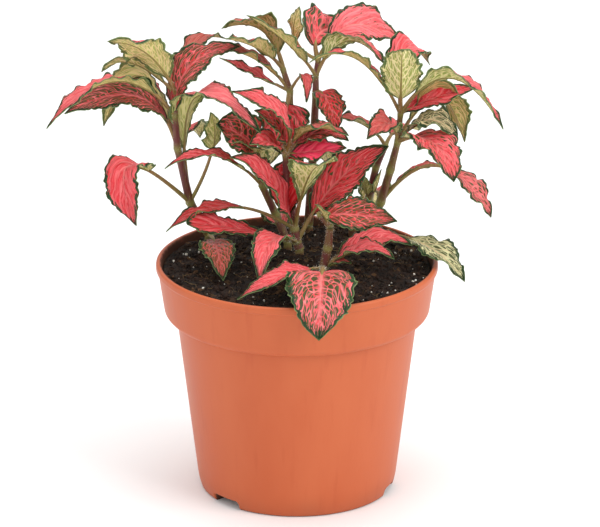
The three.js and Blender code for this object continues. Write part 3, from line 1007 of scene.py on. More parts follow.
@dataclass
class PottingSoil:
    """Peat filled to just under the rim, with loose crumbs, perlite grains and fibres on it."""

    edge_height: float = 98.0
    mound: float = 1.6
    lump: float = 0.55
    ripple: float = 0.35
    bed_radius: float = 56.9
    wall_radius: float = 56.4
    seed: int = 11
    sides: int = 120

    def level(self, x: float, y: float) -> float:
        """Gives the soil's height, by the same sum as the part's source."""
        mound = self.mound * (1 - (x * x + y * y) / (self.wall_radius * self.wall_radius))
        lumps = self.lump * math.sin(x / 5.3 + 0.7) * math.cos(y / 6.1)
        return self.edge_height + mound + lumps + self.ripple * math.sin((x + y) / 3.7)

    def rough(self, x: float, y: float) -> float:
        """Gives the height with the clods on it."""
        place = Vector((x, y, 0.0))
        clods = noise.fractal(place * 0.16, 1.0, 2.1, 3) * 0.9
        grit = abs(noise.noise(place * 0.6)) * 0.9
        return self.level(x, y) + clods + grit - 0.4

    def build(self, effects: Effects) -> list[bpy.types.Object]:
        """Builds the bed and what lies on it.

        Args:
            effects: The shared effects.

        Returns:
            The pieces.
        """
        draw = random.Random(self.seed)
        peat = Peat().make(effects)
        perlite = Grain("perlite", paint(232, 228, 218), paint(196, 190, 178), 900.0, 0.0002).make(effects)
        fibre = Grain("dry_fibre", paint(126, 100, 62), paint(70, 52, 34), 500.0, 0.0001).make(effects)
        strewn = (
            (Grains("soil_crumbs", 1400, (0.5, 1.6), round_grain, 0.9, 0.1), peat),
            (Grains("soil_grit", 6000, (0.22, 0.62), coarse_grain, 0.6, 0.3), peat),
            (Grains("soil_perlite", 150, (0.2, 0.72), round_grain, 0.7, 0.5, smooth=True), perlite),
        )
        made = [self.bed(peat)]
        made += [self.scattered(draw, grains, finish) for grains, finish in strewn]
        made.append(self.fibres(draw, fibre))
        return [ridden(piece, Slot.SOIL, "soil") for piece in made]

    def bed(self, peat: bpy.types.Material) -> bpy.types.Object:
        """Spins the bed's section and roughens its top.

        Args:
            peat: The bed's material.

        Returns:
            The piece.
        """
        bm = bmesh.new()
        rings = 46
        edge = self.bed_radius
        section = [(0.0, 7.0), (39.5, 7.0), (49.0, 77.0), (49.6, 79.5), (54.0, 81.5), (edge - 0.8, 94.5)]
        section += [(edge * (1 - i / rings), self.edge_height) for i in range(rings + 1)]
        verts = [bm.verts.new((radius, 0.0, z)) for radius, z in section]
        edges = [bm.edges.new(pair) for pair in zip(verts, verts[1:])]
        turned(bm, verts + edges, self.sides)
        for vert in bm.verts:
            if vert.co.z > self.edge_height - 1:
                vert.co.z = self.rough(vert.co.x, vert.co.y)
        return finished("soil_bed", bm, [peat])

    def spots(self, draw: random.Random, count: int, margin: float) -> list[tuple[float, float]]:
        """Draws places on the bed, evenly by area."""
        reach = self.bed_radius - margin
        drawn = [(reach * math.sqrt(draw.random()), draw.uniform(0, math.tau)) for _ in range(count)]
        return [(radius * math.cos(turn), radius * math.sin(turn)) for radius, turn in drawn]

    def scattered(
        self, draw: random.Random, grains: Grains, finish: bpy.types.Material
    ) -> bpy.types.Object:
        """Strews one kind of grain over the bed.

        Args:
            draw: The source of random numbers.
            grains: The kind of grain.
            finish: Its material.

        Returns:
            The piece.
        """
        strewn = Strewn()
        small, large = grains.sizes
        for x, y in self.spots(draw, grains.count, 1.6):
            radius = small + (large - small) * draw.random() ** 2.2
            turn = Quaternion([draw.gauss(0, 1) for _ in range(4)])
            shape = turn.normalized().to_matrix().to_4x4() @ Matrix.Diagonal(
                (radius, radius * draw.uniform(0.6, 0.95), radius * draw.uniform(0.45, 0.8), 1.0)
            )
            place = Matrix.Translation((x, y, self.rough(x, y) + radius * grains.sink)) @ shape
            middle = place.translation
            for vert in grains.ball(strewn.next(), place)["verts"]:
                push = 1 + grains.lumpy * noise.noise(vert.co * (1.3 / radius))
                vert.co = middle + (vert.co - middle) * push
        return finished(grains.name, strewn.joined(), [finish], grains.smooth)

    def fibres(self, draw: random.Random, fibre: bpy.types.Material) -> bpy.types.Object:
        """Lays thin bent fibres on the bed.

        Args:
            draw: The source of random numbers.
            fibre: Their material.

        Returns:
            The piece.
        """
        strewn = Strewn()
        for x, y in self.spots(draw, 240, 5.0):
            heading = draw.uniform(0, math.tau)
            length = draw.uniform(1.4, 5.0)
            thick = draw.uniform(0.08, 0.2)
            stations = []
            for i in range(5):
                z = self.rough(x, y) + 0.7 + 0.5 * math.sin(i * 1.4 + heading)
                turn = Matrix.Rotation(heading - math.pi / 2, 4, "Z")
                stations.append((Matrix.Translation((x, y, z)) @ turn, thick * (1 - 0.14 * i)))
                x += math.cos(heading) * length / 4
                y += math.sin(heading) * length / 4
                heading += draw.uniform(-0.5, 0.5)
            tube(strewn.next(), stations, 4)
        return finished("soil_fibres", strewn.joined(), [fibre])


# ---------------------------------------------------------------- the leafy stems


class Form(Enum):
    """A blade's outline: along it, half width as a share of the widest, and height of the wave."""

    SLENDER = (
        (0.0, 0.13, 0.0), (0.15, 0.6, 0.4), (0.33, 0.97, -1.0), (0.52, 0.96, 1.0),
        (0.71, 0.68, -1.0), (0.88, 0.31, 0.6), (1.0, 0.015, 0.0),
    )
    ROUND = (
        (0.0, 0.15, 0.0), (0.07, 0.7, 0.4), (0.24, 0.98, -1.0), (0.45, 1.0, 1.0),
        (0.66, 0.84, -1.0), (0.86, 0.48, 0.6), (1.0, 0.015, 0.0),
    )
    FAN = (
        (0.0, 0.1, 0.0), (0.15, 0.28, 0.3), (0.36, 0.55, -0.7), (0.57, 0.84, 1.0),
        (0.76, 1.0, -1.0), (0.92, 0.78, 0.6), (1.0, 0.22, 0.0),
    )


@dataclass(frozen=True)
class Leaf:
    """One leaf: where it grows, how it bends and how it is coloured.

    upper is how large the green islands are, how pale the pink is, and how brown the face is,
    the brown partly a painted shade on leaves that sit in shadow, or, below 0, how hot its pink
    is. lower is how green the underside is, how flushed, and how plain its cream net shows.
    """

    at: int
    over: Point
    tip: Point
    wide: float
    roll: float = 0.0
    twist: float = 0.0
    share: float = 0.2
    form: Form = Form.SLENDER
    fold: float = 0.32
    upper: Point = (0.3, 0.4, 0.0)
    lower: Point = (0.4, 0.3, 0.6)

    WAVE = 0.14
    THICK = 0.35

    def build(self, base: Vector, seed: float, blades: "BladeMesh", stalks: "StalkMesh") -> None:
        """Adds this leaf's blade and stalk to its stem's meshes.

        Args:
            base: The joint that it grows from.
            seed: A number that differs from leaf to leaf.
            blades: Where the blade goes.
            stalks: Where the stalk goes.
        """
        bow = Bow(base, Vector(self.over), Vector(self.tip))
        length = bow.length * (1 - self.share)
        blades.add(self, bow, length, seed)
        stalks.add_stalk(self, bow)

    def turn(self, v: float) -> float:
        """Gives the roll, in degrees, at a place along the blade."""
        return self.roll + self.twist * v

    def middle(self, bow: Bow, v: float) -> Matrix:
        """Gives the frame at a place along the blade."""
        return bow.frame(self.share + (1 - self.share) * v, self.turn(v))


class BladeMesh:
    """The blades of one stem, as one mesh of grids bent to their leaves."""

    COLUMNS = 20
    ROWS = 72
    DENT = 1.15
    FRILL = 1.4

    def __init__(self) -> None:
        """Makes the empty mesh and the layers that the finishes read."""
        self.bm = bmesh.new()
        self.uv = self.bm.loops.layers.uv.new("blade")
        layers = self.bm.verts.layers.float_vector
        self.spot, self.upper, self.lower = (layers.new(n) for n in ("spot", "upper", "lower"))

    def add(self, leaf: Leaf, bow: Bow, length: float, seed: float) -> None:
        """Bends one grid to a leaf.

        Args:
            leaf: The leaf.
            bow: The curve of its middle.
            length: The blade's length.
            seed: A number that differs from leaf to leaf.
        """
        bm = self.bm
        verts = bmesh.ops.create_grid(bm, x_segments=self.COLUMNS, y_segments=self.ROWS, size=1.0)["verts"]
        spacing = 5.2 if leaf.form is Form.SLENDER else 6.8
        veins = min(max(round(length / spacing), 5), 9)
        half_wide = leaf.wide / 2
        rim_width = 0.085 * leaf.wide + 0.15
        frames: dict[int, Matrix] = {}
        flat: dict[bmesh.types.BMVert, tuple[float, float]] = {}
        for vert in verts:
            u, v = vert.co.x, (vert.co.y + 1) / 2
            row = round(v * self.ROWS)
            if row not in frames:
                frames[row] = leaf.middle(bow, v)
            flat[vert] = ((u + 1) / 2, v)
            side = 1.0 if u > 0 else -1.0
            run = v * length
            coarse = noise.noise(Vector((run * 0.21, side * 3, seed * 9)))
            fine = noise.noise(Vector((run * 0.55, side * 5, seed * 13)))
            half = half_wide * max(eased(leaf.form.value, v, 1), 0.0)
            ends = math.sin(math.pi * min(max(v, 0.0), 1.0)) ** 0.5 if 0 < v < 1 else 0.0
            out = abs(u)
            tooth = abs(math.sin(math.pi * (run / 3.1 + 0.5 * coarse + side * 0.3 + seed))) - 0.6
            dent = self.DENT * ends * (coarse + 0.5 * fine + 0.9 * tooth) * out**3 * min(half / 8, 1)
            across = half * u + side * dent
            fold = leaf.fold * half * (math.sqrt(out * out + 0.01) - 0.1)
            bulge = 0.1 * half * math.sin(math.pi * out)
            wave = leaf.WAVE * half_wide * u * out * eased(leaf.form.value, v, 2)
            frill = math.sin(run * 0.85 + side * 2 + seed * 5 + 2 * coarse) * 0.5 + 0.5 * fine
            frill += noise.noise(Vector((run * 0.17, side * 7, seed * 17))) * 1.3
            curl = self.FRILL * out**3 * ends * frill * min(half / 5, 1)
            sweep = v - out * (0.27 + 0.2 * out) + 0.24 * side / veins
            quilt = 0.0
            if 0 < out < 1:
                quilt = 0.2 * ends * math.sin(math.pi * out) ** 0.5 * -math.cos(math.tau * sweep * veins)
            lift = fold + bulge + wave + curl + quilt - 0.15
            vert.co = frames[row] @ Vector((across, 0.0, lift))
            near = (1 - out) * half
            tip_near = (1 - v) * length * 0.5 + 0.01
            vert[self.spot] = (min(near, tip_near) / rim_width, seed, veins)
            vert[self.upper] = leaf.upper
            vert[self.lower] = leaf.lower
        for face in {face for vert in verts for face in vert.link_faces}:
            for loop in face.loops:
                loop[self.uv].uv = flat[loop.vert]

    def finish(self, name: str, upper: bpy.types.Material, lower: bpy.types.Material) -> bpy.types.Object:
        """Gives the blades their thickness and their two faces.

        Args:
            name: The piece's name.
            upper: Material of the upper faces and the edges.
            lower: Material of the undersides.

        Returns:
            The piece.
        """
        bmesh.ops.reverse_faces(self.bm, faces=self.bm.faces)
        piece = finished(name, self.bm, [upper, lower])
        shell = piece.modifiers.new("thickness", "SOLIDIFY")
        shell.thickness = Leaf.THICK * MM
        shell.offset = -1.0
        shell.material_offset = 1
        shell.use_rim = True
        return piece


class StalkMesh:
    """A stem's own tube with the stalks and midribs of its leaves, as one mesh."""

    SIDES = 8
    STEM_SIDES = 14
    JOINT_SWELL = 1.14
    JOINT_REACH = 2.6
    ROOT_BOTTOM = 90.0
    SOIL_TOP = 99.0

    def __init__(self) -> None:
        """Makes the empty mesh and the layer that its finish reads."""
        self.bm = bmesh.new()
        self.skin = self.bm.verts.layers.float_vector.new("skin")
        self.places: list[tuple[Matrix, float]] = []

    def add(self, stations: list[tuple[Matrix, float]], sides: int, skins: list[Point]) -> None:
        """Adds one tube and its skin.

        Args:
            stations: The frame and radius of each ring.
            sides: Number of sides.
            skins: How much of a joint each ring is, how green and how rosy.
        """
        for ring, skin in zip(tube(self.bm, stations, sides), skins):
            for vert in ring:
                vert[self.skin] = skin

    def add_stalk(self, leaf: Leaf, bow: Bow) -> None:
        """Adds a leaf's stalk, which runs on under its blade as the midrib.

        Args:
            leaf: The leaf.
            bow: The curve of its middle.
        """
        thick = 0.55 + 0.022 * leaf.wide
        stations, skins = [], []
        for i in range(9):
            part = i / 8
            place = bow.frame(leaf.share * part, leaf.turn(0.0))
            stations.append((place, thick * (1.15 - 0.3 * part)))
            skins.append((0.5 * (1 - part) ** 2, 0.8, 0.18))
        self.places += stations
        for i in range(1, 15):
            v = i / 14 * 0.94
            place = leaf.middle(bow, v)
            radius = thick * 0.85 * (1 - 0.86 * v**0.7)
            drop = min(v * 8, 1) * (0.42 + radius * 0.35)
            stations.append((place @ Matrix.Translation((0, 0, -drop)), radius * (1 - 0.25 * min(v * 8, 1))))
            skins.append((0.3, 0.8, 0.25 * leaf.lower[1]))
        self.add(stations, self.SIDES, skins)

    def add_stem(self, points: Sequence[tuple[float, float, float, float]], green: float) -> None:
        """Adds a stem, upright in the soil and then bent from joint to joint.

        Args:
            points: The joints it passes, with its radius there.
            green: How green it is between joints.
        """
        joints = [Vector(p[:3]) for p in points]
        below = Vector((joints[0].x, joints[0].y, self.ROOT_BOTTOM))
        line: list[tuple[Vector, float, float]] = [(below, points[0][3] * 0.9, 0.0)]
        for i, joint in enumerate(joints):
            before = joints[i - 1] if i else below
            size = points[i][3]
            run = (joint - before).length
            for part in (0.25, 0.5, 0.75):
                previous = points[i - 1][3] if i else size
                line.append((before.lerp(joint, part), previous + (size - previous) * part, 0.0))
            reach = min(0.2, self.JOINT_REACH / run)
            swell = self.JOINT_SWELL if i else 1.0
            line.append((before.lerp(joint, 1 - reach), size, 0.15))
            line.append((before.lerp(joint, 1 - reach * 0.4), size * (1 + swell) / 2, 0.6))
            line.append((joint, size * swell, 1.0))
            if i + 1 < len(joints):
                after = joints[i + 1]
                reach = min(0.2, self.JOINT_REACH / (after - joint).length)
                line.append((joint.lerp(after, reach * 0.5), size * (1 + swell) / 2, 0.7))
                line.append((joint.lerp(after, reach), size, 0.25))
            else:
                end = (joint - before).normalized()
                line.append((joint + end * size * 0.8, size * 0.9, 1.0))
                line.append((joint + end * size * 1.3, size * 0.4, 1.0))
        stations, skins = [], []
        for k, (place, size, joint_share) in enumerate(line):
            ahead = line[min(k + 1, len(line) - 1)][0] - line[max(k - 1, 0)][0]
            turn = ahead.to_track_quat("Y", "Z").to_matrix().to_4x4()
            stations.append((Matrix.Translation(place) @ turn, size))
            skins.append((0.7 * joint_share if place.z > self.SOIL_TOP else 0.2, green, 0.0))
        self.places += [s for s in stations if s[0].translation.z > self.SOIL_TOP - 1]
        self.add(stations, self.STEM_SIDES, skins)

    def finish(self, name: str, skin: bpy.types.Material) -> bpy.types.Object:
        """Turns the tubes into a piece.

        Args:
            name: The piece's name.
            skin: Its material.

        Returns:
            The piece.
        """
        bmesh.ops.recalc_face_normals(self.bm, faces=self.bm.faces)
        return finished(name, self.bm, [skin])


@dataclass
class Hairs:
    """Fine tapered hairs that stand off a stem and its stalks."""

    per_ring: float
    seed: int
    length: tuple[float, float] = (0.4, 1.1)
    thick: float = 0.045

    LARGEST_STEP = 15  # a longer step leads from one stalk to the next

    def build(
        self, name: str, places: list[tuple[Matrix, float]], white: bpy.types.Material
    ) -> bpy.types.Object:
        """Plants the hairs round each ring.

        Args:
            name: The piece's name.
            places: The frame and radius of each ring that bears hairs.
            white: Their material.

        Returns:
            The piece.
        """
        draw = random.Random(self.seed)
        strewn = Strewn()
        for here, after in zip(places, places[1:]):
            if (after[0].translation - here[0].translation).length > self.LARGEST_STEP:
                continue
            for _ in range(int(self.per_ring + draw.random())):
                part = draw.random()
                middle = here[0].translation.lerp(after[0].translation, part)
                radius = here[1] + (after[1] - here[1]) * part
                turn = Matrix.Rotation(draw.uniform(0, math.tau), 4, "Y")
                spin = here[0].to_3x3().to_4x4() @ turn
                out = (spin @ Vector((1, 0, 0))).normalized()
                lean = (out + (spin @ Vector((0, draw.uniform(-0.5, 0.3), 0)))).normalized()
                length = draw.uniform(*self.length)
                root = middle + out * radius * 0.92
                aim = lean.to_track_quat("Z", "Y").to_matrix().to_4x4()
                place = Matrix.Translation(root + lean * length / 2) @ aim
                bmesh.ops.create_cone(
                    strewn.next(), cap_ends=True, segments=3, radius1=self.thick, radius2=self.thick * 0.2,
                    depth=length, matrix=place,
                )
        return finished(name, strewn.joined(), [white], smooth=False)


@dataclass
class LeafyStem:
    """One stem with its leaves, which stands for the node of the same name."""

    node: str
    points: tuple[tuple[float, float, float, float], ...]
    leaves: dict[str, Leaf]
    green: float = 0.3
    hairs: float = 3.0
    seed: int = 1

    def build(self, finishes: dict[str, bpy.types.Material]) -> list[bpy.types.Object]:
        """Builds and dresses the stem, its leaves and its hairs.

        Args:
            finishes: The plant's materials by name.

        Returns:
            The pieces.
        """
        blades, stalks = BladeMesh(), StalkMesh()
        stalks.add_stem(self.points, self.green)
        for i, leaf in enumerate(self.leaves.values()):
            base = Vector(self.points[leaf.at][:3])
            leaf.build(base, (self.seed * 0.37 + i * 0.618) % 1 + 0.1, blades, stalks)
        made = [
            blades.finish(self.node + "_blades", finishes["leaf_upper"], finishes["leaf_lower"]),
            stalks.finish(self.node + "_stalks", finishes["stem_skin"]),
            Hairs(self.hairs, self.seed).build(self.node + "_hairs", stalks.places, finishes["hair_white"]),
        ]
        return [ridden(piece, Slot.PLANT, self.node) for piece in made]


SLENDER, ROUND, FAN = Form.SLENDER, Form.ROUND, Form.FAN
STEMS = [
    LeafyStem(
        "stem_left",
        (
            (-38, 30, 102, 1.9), (-46, 27, 118, 1.8), (-51, 22, 144, 1.6), (-52, 18, 160, 1.3),
            (-51, 18, 169, 1.1),
        ),
        {
            "a1": Leaf(2, (-60, 16, 184), (-98, 2, 166), 17, -35, upper=(1.2, 0.3, 0)),
            "a2": Leaf(3, (-75, 5, 198), (-105, -12, 164), 13, 35, -45,
                upper=(0.1, 0.5, 0.1), lower=(0.45, 0.5, 0.5)),
            "a3": Leaf(4, (-60, 8, 197), (-79, -8, 201), 19, 30, fold=0.1, lower=(0.3, 0.4, 0.9)),
            "a4": Leaf(4, (-71, 20, 192), (-83, 20, 179), 12, 35, lower=(0.6, 0.3, 0.6)),
            "a5": Leaf(2, (-66, 27, 203), (-83, 32, 151), 16, 35, lower=(0.55, 0.5, 0.7)),
            "a7": Leaf(3, (-52, 12, 191), (-24, 24, 189), 16, 30, share=0.05, upper=(1.2, 0.2, 0)),
            "a8": Leaf(4, (-48, 28, 198), (-30, 48, 185), 9, upper=(0.3, 0.4, 0.6), lower=(0.4, 0.6, 0.2)),
            "a10": Leaf(1, (-57, 20, 199), (-15, -6, 160), 17, share=0.28,
                upper=(0, 0.8, 0), lower=(0.5, 0.1, 0.3)),
            "a12": Leaf(1, (-31, 18, 148), (-37, 16, 162), 9, share=0.62, form=ROUND,
                lower=(0.6, 0.2, 0.5)),
            "a13": Leaf(1, (-85, -8, 168), (-68, -10, 120), 17, share=0.42, form=ROUND,
                upper=(0.3, 0.25, 0)),
            "a15": Leaf(2, (-46, 42, 156), (-42, 56, 138), 13.5, upper=(0.6, 0.3, 0.1)),
            "a14": Leaf(0, (-34, -4, 114), (-31, -26, 101.5), 15, share=0.35, upper=(0.9, 0.3, 0.3)),
        },
        green=0.1, seed=3,
    ),
    LeafyStem(
        "stem_left_inner",
        ((-4, 20, 102, 1.8), (-9, 22, 114, 1.7), (-15, 20, 128, 1.5), (-15, 17, 141, 1.2)),
        {
            "d1": Leaf(3, (-21, 12, 154), (-34, 6, 160), 21, -55, form=ROUND, upper=(1.2, 0.15, 0)),
            "d2": Leaf(2, (-21, 12, 152), (-28, 3, 152.5), 18, lower=(0.7, 0.15, 0.7)),
            "d3": Leaf(2, (-35, 4, 157), (-56, -2, 143), 9, -10, upper=(0, 0.3, 0)),
            "d4": Leaf(0, (-9, 34, 115), (-14, 49, 102), 12, upper=(0.6, 0.3, 0.1)),
        },
        seed=5,
    ),
    LeafyStem(
        "stem_centre",
        (
            (1, 12, 102, 2.0), (0, 12, 105, 1.9), (-1, 12, 111, 1.8), (-4, 14, 126, 1.6),
            (-5, 14, 144, 1.3),
        ),
        {
            "c1": Leaf(2, (-13, 1, 147), (-28, -8, 150), 18, -45, share=0.06, upper=(0.15, 0.3, 0)),
            "c2": Leaf(2, (3, 5, 141), (9.5, -18, 150), 21, share=0.3, form=FAN, lower=(0.25, 0.05, 0.9)),
            "c3": Leaf(2, (-9, 11, 130), (3, 17, 146), 17, 10, upper=(0.25, 0, 0)),
            "c4": Leaf(1, (14, 13, 137), (39, 16, 147), 19, 50, share=0.24, upper=(0.6, 0.1, 0)),
            "c5": Leaf(4, (-10, 4, 156), (-20, -4, 154.5), 13, -35, upper=(0.2, 0.3, 0)),
            "c6": Leaf(4, (3, 10, 164), (22, 0, 157), 12, -10,
                upper=(0.5, 0.4, 0.4), lower=(0.7, 0.3, 0.3)),
            "c7": Leaf(4, (9, 11, 161), (22, 8, 152), 11, 30, upper=(1, 0.2, 0)),
            "c8": Leaf(4, (4, 2, 168), (-28, -4, 178), 13, -40, upper=(0.25, 0.4, 0)),
            "c9": Leaf(4, (-5, 8, 161), (-18, 7, 166), 15, -40, upper=(0.8, 0.1, 0)),
            "c10": Leaf(1, (-15, -33, 130), (-15.5, -42, 105), 15, upper=(0.1, 0.4, 0)),
            "c11": Leaf(1, (-24, 7, 114), (-47, 2, 117.5), 12, -30, form=FAN, upper=(0.15, 0.15, 0)),
            "c12": Leaf(2, (-31, 9, 133), (-56, 6, 112), 10, -10, share=0.4, upper=(0.15, 0.15, 0.1)),
            "c13": Leaf(4, (6, 6, 148), (21, 5, 150), 15, 25, share=0.1, upper=(0, 0.4, -0.9)),
        },
        green=0.12, hairs=8.0, seed=7,
    ),
    LeafyStem(
        "stem_back_left",
        ((-2, 44, 102, 2.0), (-3, 36, 134, 1.8), (-3, 30, 167, 1.4), (-6, 30, 177, 1.2)),
        {
            "b1": Leaf(2, (-16, 28, 188), (-36, 26, 187), 14, upper=(0.2, 0.4, 0.6), lower=(0.3, 0.8, 0.2)),
            "b2": Leaf(3, (-15, 21, 192), (-30, 6, 198), 15, 10,
                upper=(0.15, 0.45, 0.4), lower=(0.7, 0.5, 0.5)),
            "b3": Leaf(3, (-11, 32, 203), (-32, 24, 197), 23, 20,
                upper=(0.5, 0.4, 0.6), lower=(0.9, 0.55, 0.5)),
            "b4": Leaf(2, (6, 14, 189), (4, 8, 169), 5, share=0.4, upper=(0, 0.4, 0.2)),
            "b5": Leaf(2, (-16, 32, 173), (-33, 34, 181), 9, lower=(0.7, 0.45, 0.4)),
            "b6": Leaf(2, (-4, 28.5, 166), (-6, 18.5, 142), 22, form=ROUND, upper=(0.55, 0.2, 0)),
            "b7": Leaf(1, (-9, 56, 140), (-12, 70, 121), 15, upper=(0.6, 0.3, 0.1)),
        },
        seed=13,
    ),
    LeafyStem(
        "stem_back_right",
        (
            (5, 44, 102, 2.0), (7, 36, 139, 1.8), (8, 30, 166, 1.5), (8, 30, 174, 1.3),
            (9, 30, 181, 1.1),
        ),
        {
            "t1": Leaf(4, (4, 28, 197), (20, 50, 190), 23, 35, upper=(0.8, 0.3, 0)),
            "t2": Leaf(4, (21, 34, 208), (45, 44, 183), 19, 35, upper=(0.3, 0.6, 0)),
            "t3": Leaf(3, (20, 24, 205), (37, 15, 184), 16, -35, 25,
                upper=(0.5, 0.5, 0.2), lower=(0.8, 0, 0.9)),
            "t4": Leaf(4, (-6, 27, 188), (1.3, 22, 207), 8, share=0.45, lower=(0.3, 0.2, 0.6)),
            "t5": Leaf(3, (-2, 16, 195), (-21, 10, 207), 11, 10,
                upper=(0.4, 0.6, 0.1), lower=(0.5, 0.4, 0.5)),
            "t6": Leaf(2, (12, 22, 173), (17, 17, 154), 13, form=ROUND, upper=(0.75, 0, 0)),
            "t7": Leaf(1, (12, 56, 140), (14, 70, 119), 15, upper=(0.6, 0.3, 0)),
        },
        green=0.2, seed=17,
    ),
    LeafyStem(
        "stem_right",
        (
            (29, 32, 102, 2.0), (36, 30, 117, 1.9), (40, 26, 133, 1.7), (43, 22, 147, 1.4),
            (44, 20, 160, 1.2),
        ),
        {
            "e1": Leaf(3, (41, 10, 167), (29.5, -3, 156.5), 13, -25, upper=(0.3, 0.4, 0.35)),
            "e2": Leaf(4, (44, 7, 188), (44, -6, 197), 17, form=ROUND, lower=(0.5, 0.1, 1)),
            "e3": Leaf(4, (41, 15, 207), (57, 40, 176), 14, 25),
            "e4": Leaf(4, (65, 8, 200), (87, -4, 161), 15, -30, 10,
                upper=(0.1, 0.6, 0.1), lower=(0.7, 0.1, 0.6)),
            "e5": Leaf(4, (54, 22, 167), (76, 26, 170), 13, 30, share=0.06, upper=(0.3, 0.15, 0)),
            "e6": Leaf(3, (62, 30, 186), (72, 28, 145), 19, -35, lower=(0.8, 0.65, 0.7)),
            "e7": Leaf(3, (56, 12, 169), (68, 2, 155), 15, 15,
                upper=(2.0, 1.05, 0.12), lower=(0.6, 0.5, 0.6)),
            "e8": Leaf(3, (60, -1, 163), (66, -14, 141), 19, form=ROUND, upper=(0.55, 0.35, 0)),
            "e9": Leaf(1, (61, 20, 157), (83, 10, 117), 13, 10, share=0.6, upper=(0.75, 0.6, 0.15)),
            "e10": Leaf(1, (50, 28, 141), (67, 24, 133), 8, share=0.25, upper=(0.1, 0.6, 0.3)),
            "e11": Leaf(4, (27, 13, 200), (5, 4, 188), 10, -25, 55,
                upper=(0.1, 0.35, 0.2), lower=(0.5, 0.6, 0.3)),
            "e12": Leaf(0, (57, 2, 114), (71, -15, 97), 16, share=0.42,
                upper=(1.9, 1.15, 0.15), lower=(0.6, 0, 1)),
            "e13": Leaf(1, (33, 54, 124), (33, 68, 97), 14, upper=(0.6, 0.3, 0)),
        },
        green=0.4, seed=19,
    ),
    LeafyStem(
        "stem_right_inner",
        ((24, 42, 102, 1.8), (31, 38, 116, 1.7), (34, 36, 131, 1.5), (38, 34, 141, 1.2)),
        {
            "i1": Leaf(1, (30, 35, 121), (29, 32, 128), 6, lower=(0.5, 0.3, 0.4)),
            "i2": Leaf(3, (31, 33, 155), (16, 30, 155), 12, upper=(0.2, 0.5, 0.4)),
            "i3": Leaf(1, (34, 37, 120), (36, 36, 130), 6, lower=(0.5, 0.3, 0.4)),
            "i4": Leaf(3, (42, 41, 151), (53, 60, 140), 14, upper=(0.4, 0.4, 0.1)),
        },
        green=0.1, seed=23,
    ),
    LeafyStem(
        "stem_front",
        ((11, -14, 102, 2.0), (13, -15, 112, 1.8), (14, -16, 122, 1.4), (9.5, -16, 127, 1.1)),
        {
            "f1": Leaf(2, (12, -19, 129), (8, -22, 134), 8, -20, upper=(0.3, 0.5, 0.1)),
            "f2": Leaf(3, (25, -20, 130), (42, -24, 127), 15, 50, share=0.04, upper=(1.4, 0.1, 0)),
            "f3": Leaf(0, (10, -58, 119.5), (9, -73, 92), 29, share=0.3, form=ROUND, fold=0.1,
                upper=(1.25, 0.35, 0)),
            "f4": Leaf(0, (31, -8, 121), (49, -6, 110), 13, 20, upper=(0.15, 0.35, 0)),
            "f5": Leaf(0, (28, -21, 121), (41, -26, 111), 11, 10, upper=(0.02, 0.45, 0)),
            "f6": Leaf(0, (18, -18, 109), (23, -20, 107), 6, upper=(0, 0.4, 0.4)),
            "f7": Leaf(0, (-2, -48, 117), (-25, -51.5, 102.3), 11, -10, upper=(0.15, 0.3, 0)),
        },
        hairs=12.0, seed=29,
    ),
]


@dataclass
class NervePlant:
    """All leafy stems of the plant, in the finishes that they share."""

    stems: list[LeafyStem]

    def build(self, effects: Effects) -> list[bpy.types.Object]:
        """Builds every stem.

        Args:
            effects: The shared effects.

        Returns:
            The pieces.
        """
        kinds: list[Finish] = [UpperFace(), LowerFace(), StemSkin(), HairWhite()]
        finishes = {kind.name: kind.make(effects) for kind in kinds}
        return [piece for stem in self.stems for piece in stem.build(finishes)]


# ---------------------------------------------------------------- the studio


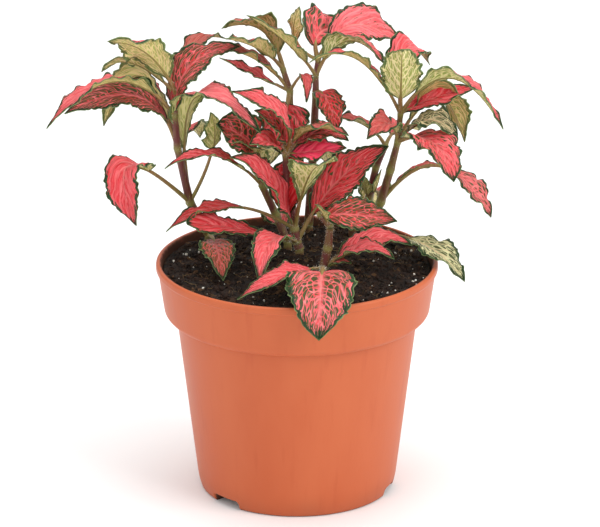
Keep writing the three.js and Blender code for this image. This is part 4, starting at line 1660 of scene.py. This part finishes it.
@dataclass
class Studio:
    """The floor, the soft lights and the camera at the photograph's angle."""

    elevation: float = 19.6
    distance: float = 2.0
    aim_height: float = 0.101
    lens: float = 282.0
    aside: float = 0.00128
    floor_side: float = 12.0

    def build(self, effects: Effects) -> None:
        """Builds the studio.

        Args:
            effects: The shared effects.
        """
        self.camera()
        self.floor(effects)
        self.sky(0.8)
        self.lamp("key_light", (1.4, -0.95, 1.35), 1.2, 21.0, (1.0, 0.985, 0.965))
        self.lamp("fill_light", (-1.2, -1.2, 1.0), 1.4, 5.5, (0.97, 0.985, 1.0))
        self.lamp("top_light", (0.0, 0.2, 1.8), 1.6, 16.0, (1.0, 1.0, 1.0))
        view = bpy.context.scene.view_settings
        view.view_transform = "Standard"
        view.look = "None"

    def camera(self) -> None:
        """Puts the camera where the photograph was taken from."""
        data = bpy.data.cameras.new("camera")
        data.lens, data.sensor_width = self.lens, 36.0
        data.clip_start, data.clip_end = 0.05, 60.0
        camera = bpy.data.objects.new("camera", data)
        bpy.context.scene.collection.objects.link(camera)
        tilt = math.radians(self.elevation)
        ahead = Vector((0, math.cos(tilt), -math.sin(tilt)))
        above = Vector((0, math.sin(tilt), math.cos(tilt)))
        aim = Vector((0, 0, self.aim_height))
        camera.location = aim - ahead * self.distance + Vector((self.aside, 0, 0)) - above * self.aside
        camera.rotation_euler = (math.radians(90) - tilt, 0, 0)
        bpy.context.scene.camera = camera

    def floor(self, effects: Effects) -> None:
        """Lays the pale floor."""
        bm = bmesh.new()
        bmesh.ops.create_grid(bm, x_segments=1, y_segments=1, size=self.floor_side / 2 / MM)
        finished("studio_floor", bm, [StudioFloor().make(effects)])

    @staticmethod
    def sky(strength: float) -> None:
        """Fills the room with even pale light."""
        world = bpy.data.worlds.new("room")
        world.use_nodes = True
        background = world.node_tree.nodes["Background"]
        background.inputs["Color"].default_value = (1.0, 1.0, 1.0, 1.0)
        background.inputs["Strength"].default_value = strength
        bpy.context.scene.world = world

    @staticmethod
    def lamp(name: str, place: Point, size: float, power: float, colour: Point) -> None:
        """Hangs one square soft light that faces the plant."""
        data = bpy.data.lights.new(name, "AREA")
        data.shape, data.size, data.energy, data.color = "SQUARE", size, power, colour
        light = bpy.data.objects.new(name, data)
        light.location = place
        light.rotation_euler = (Vector((0, 0, 0.12)) - Vector(place)).to_track_quat("-Z", "Y").to_euler()
        bpy.context.scene.collection.objects.link(light)


def main() -> None:
    """Builds everything in order."""
    logging.basicConfig(level=logging.INFO, format="%(message)s")
    effects = Effects(mottling_effect(), blade_effect())
    builders: list[tuple[str, Callable[[Effects], Any]]] = [
        ("studio", Studio().build),
        ("pot", GrowersPot().build),
        ("soil", PottingSoil().build),
        ("plant", NervePlant(STEMS).build),
    ]
    for name, build in builders:
        build(effects)
        LOG.info("%s is built", name)


if __name__ == "__main__":
    main()
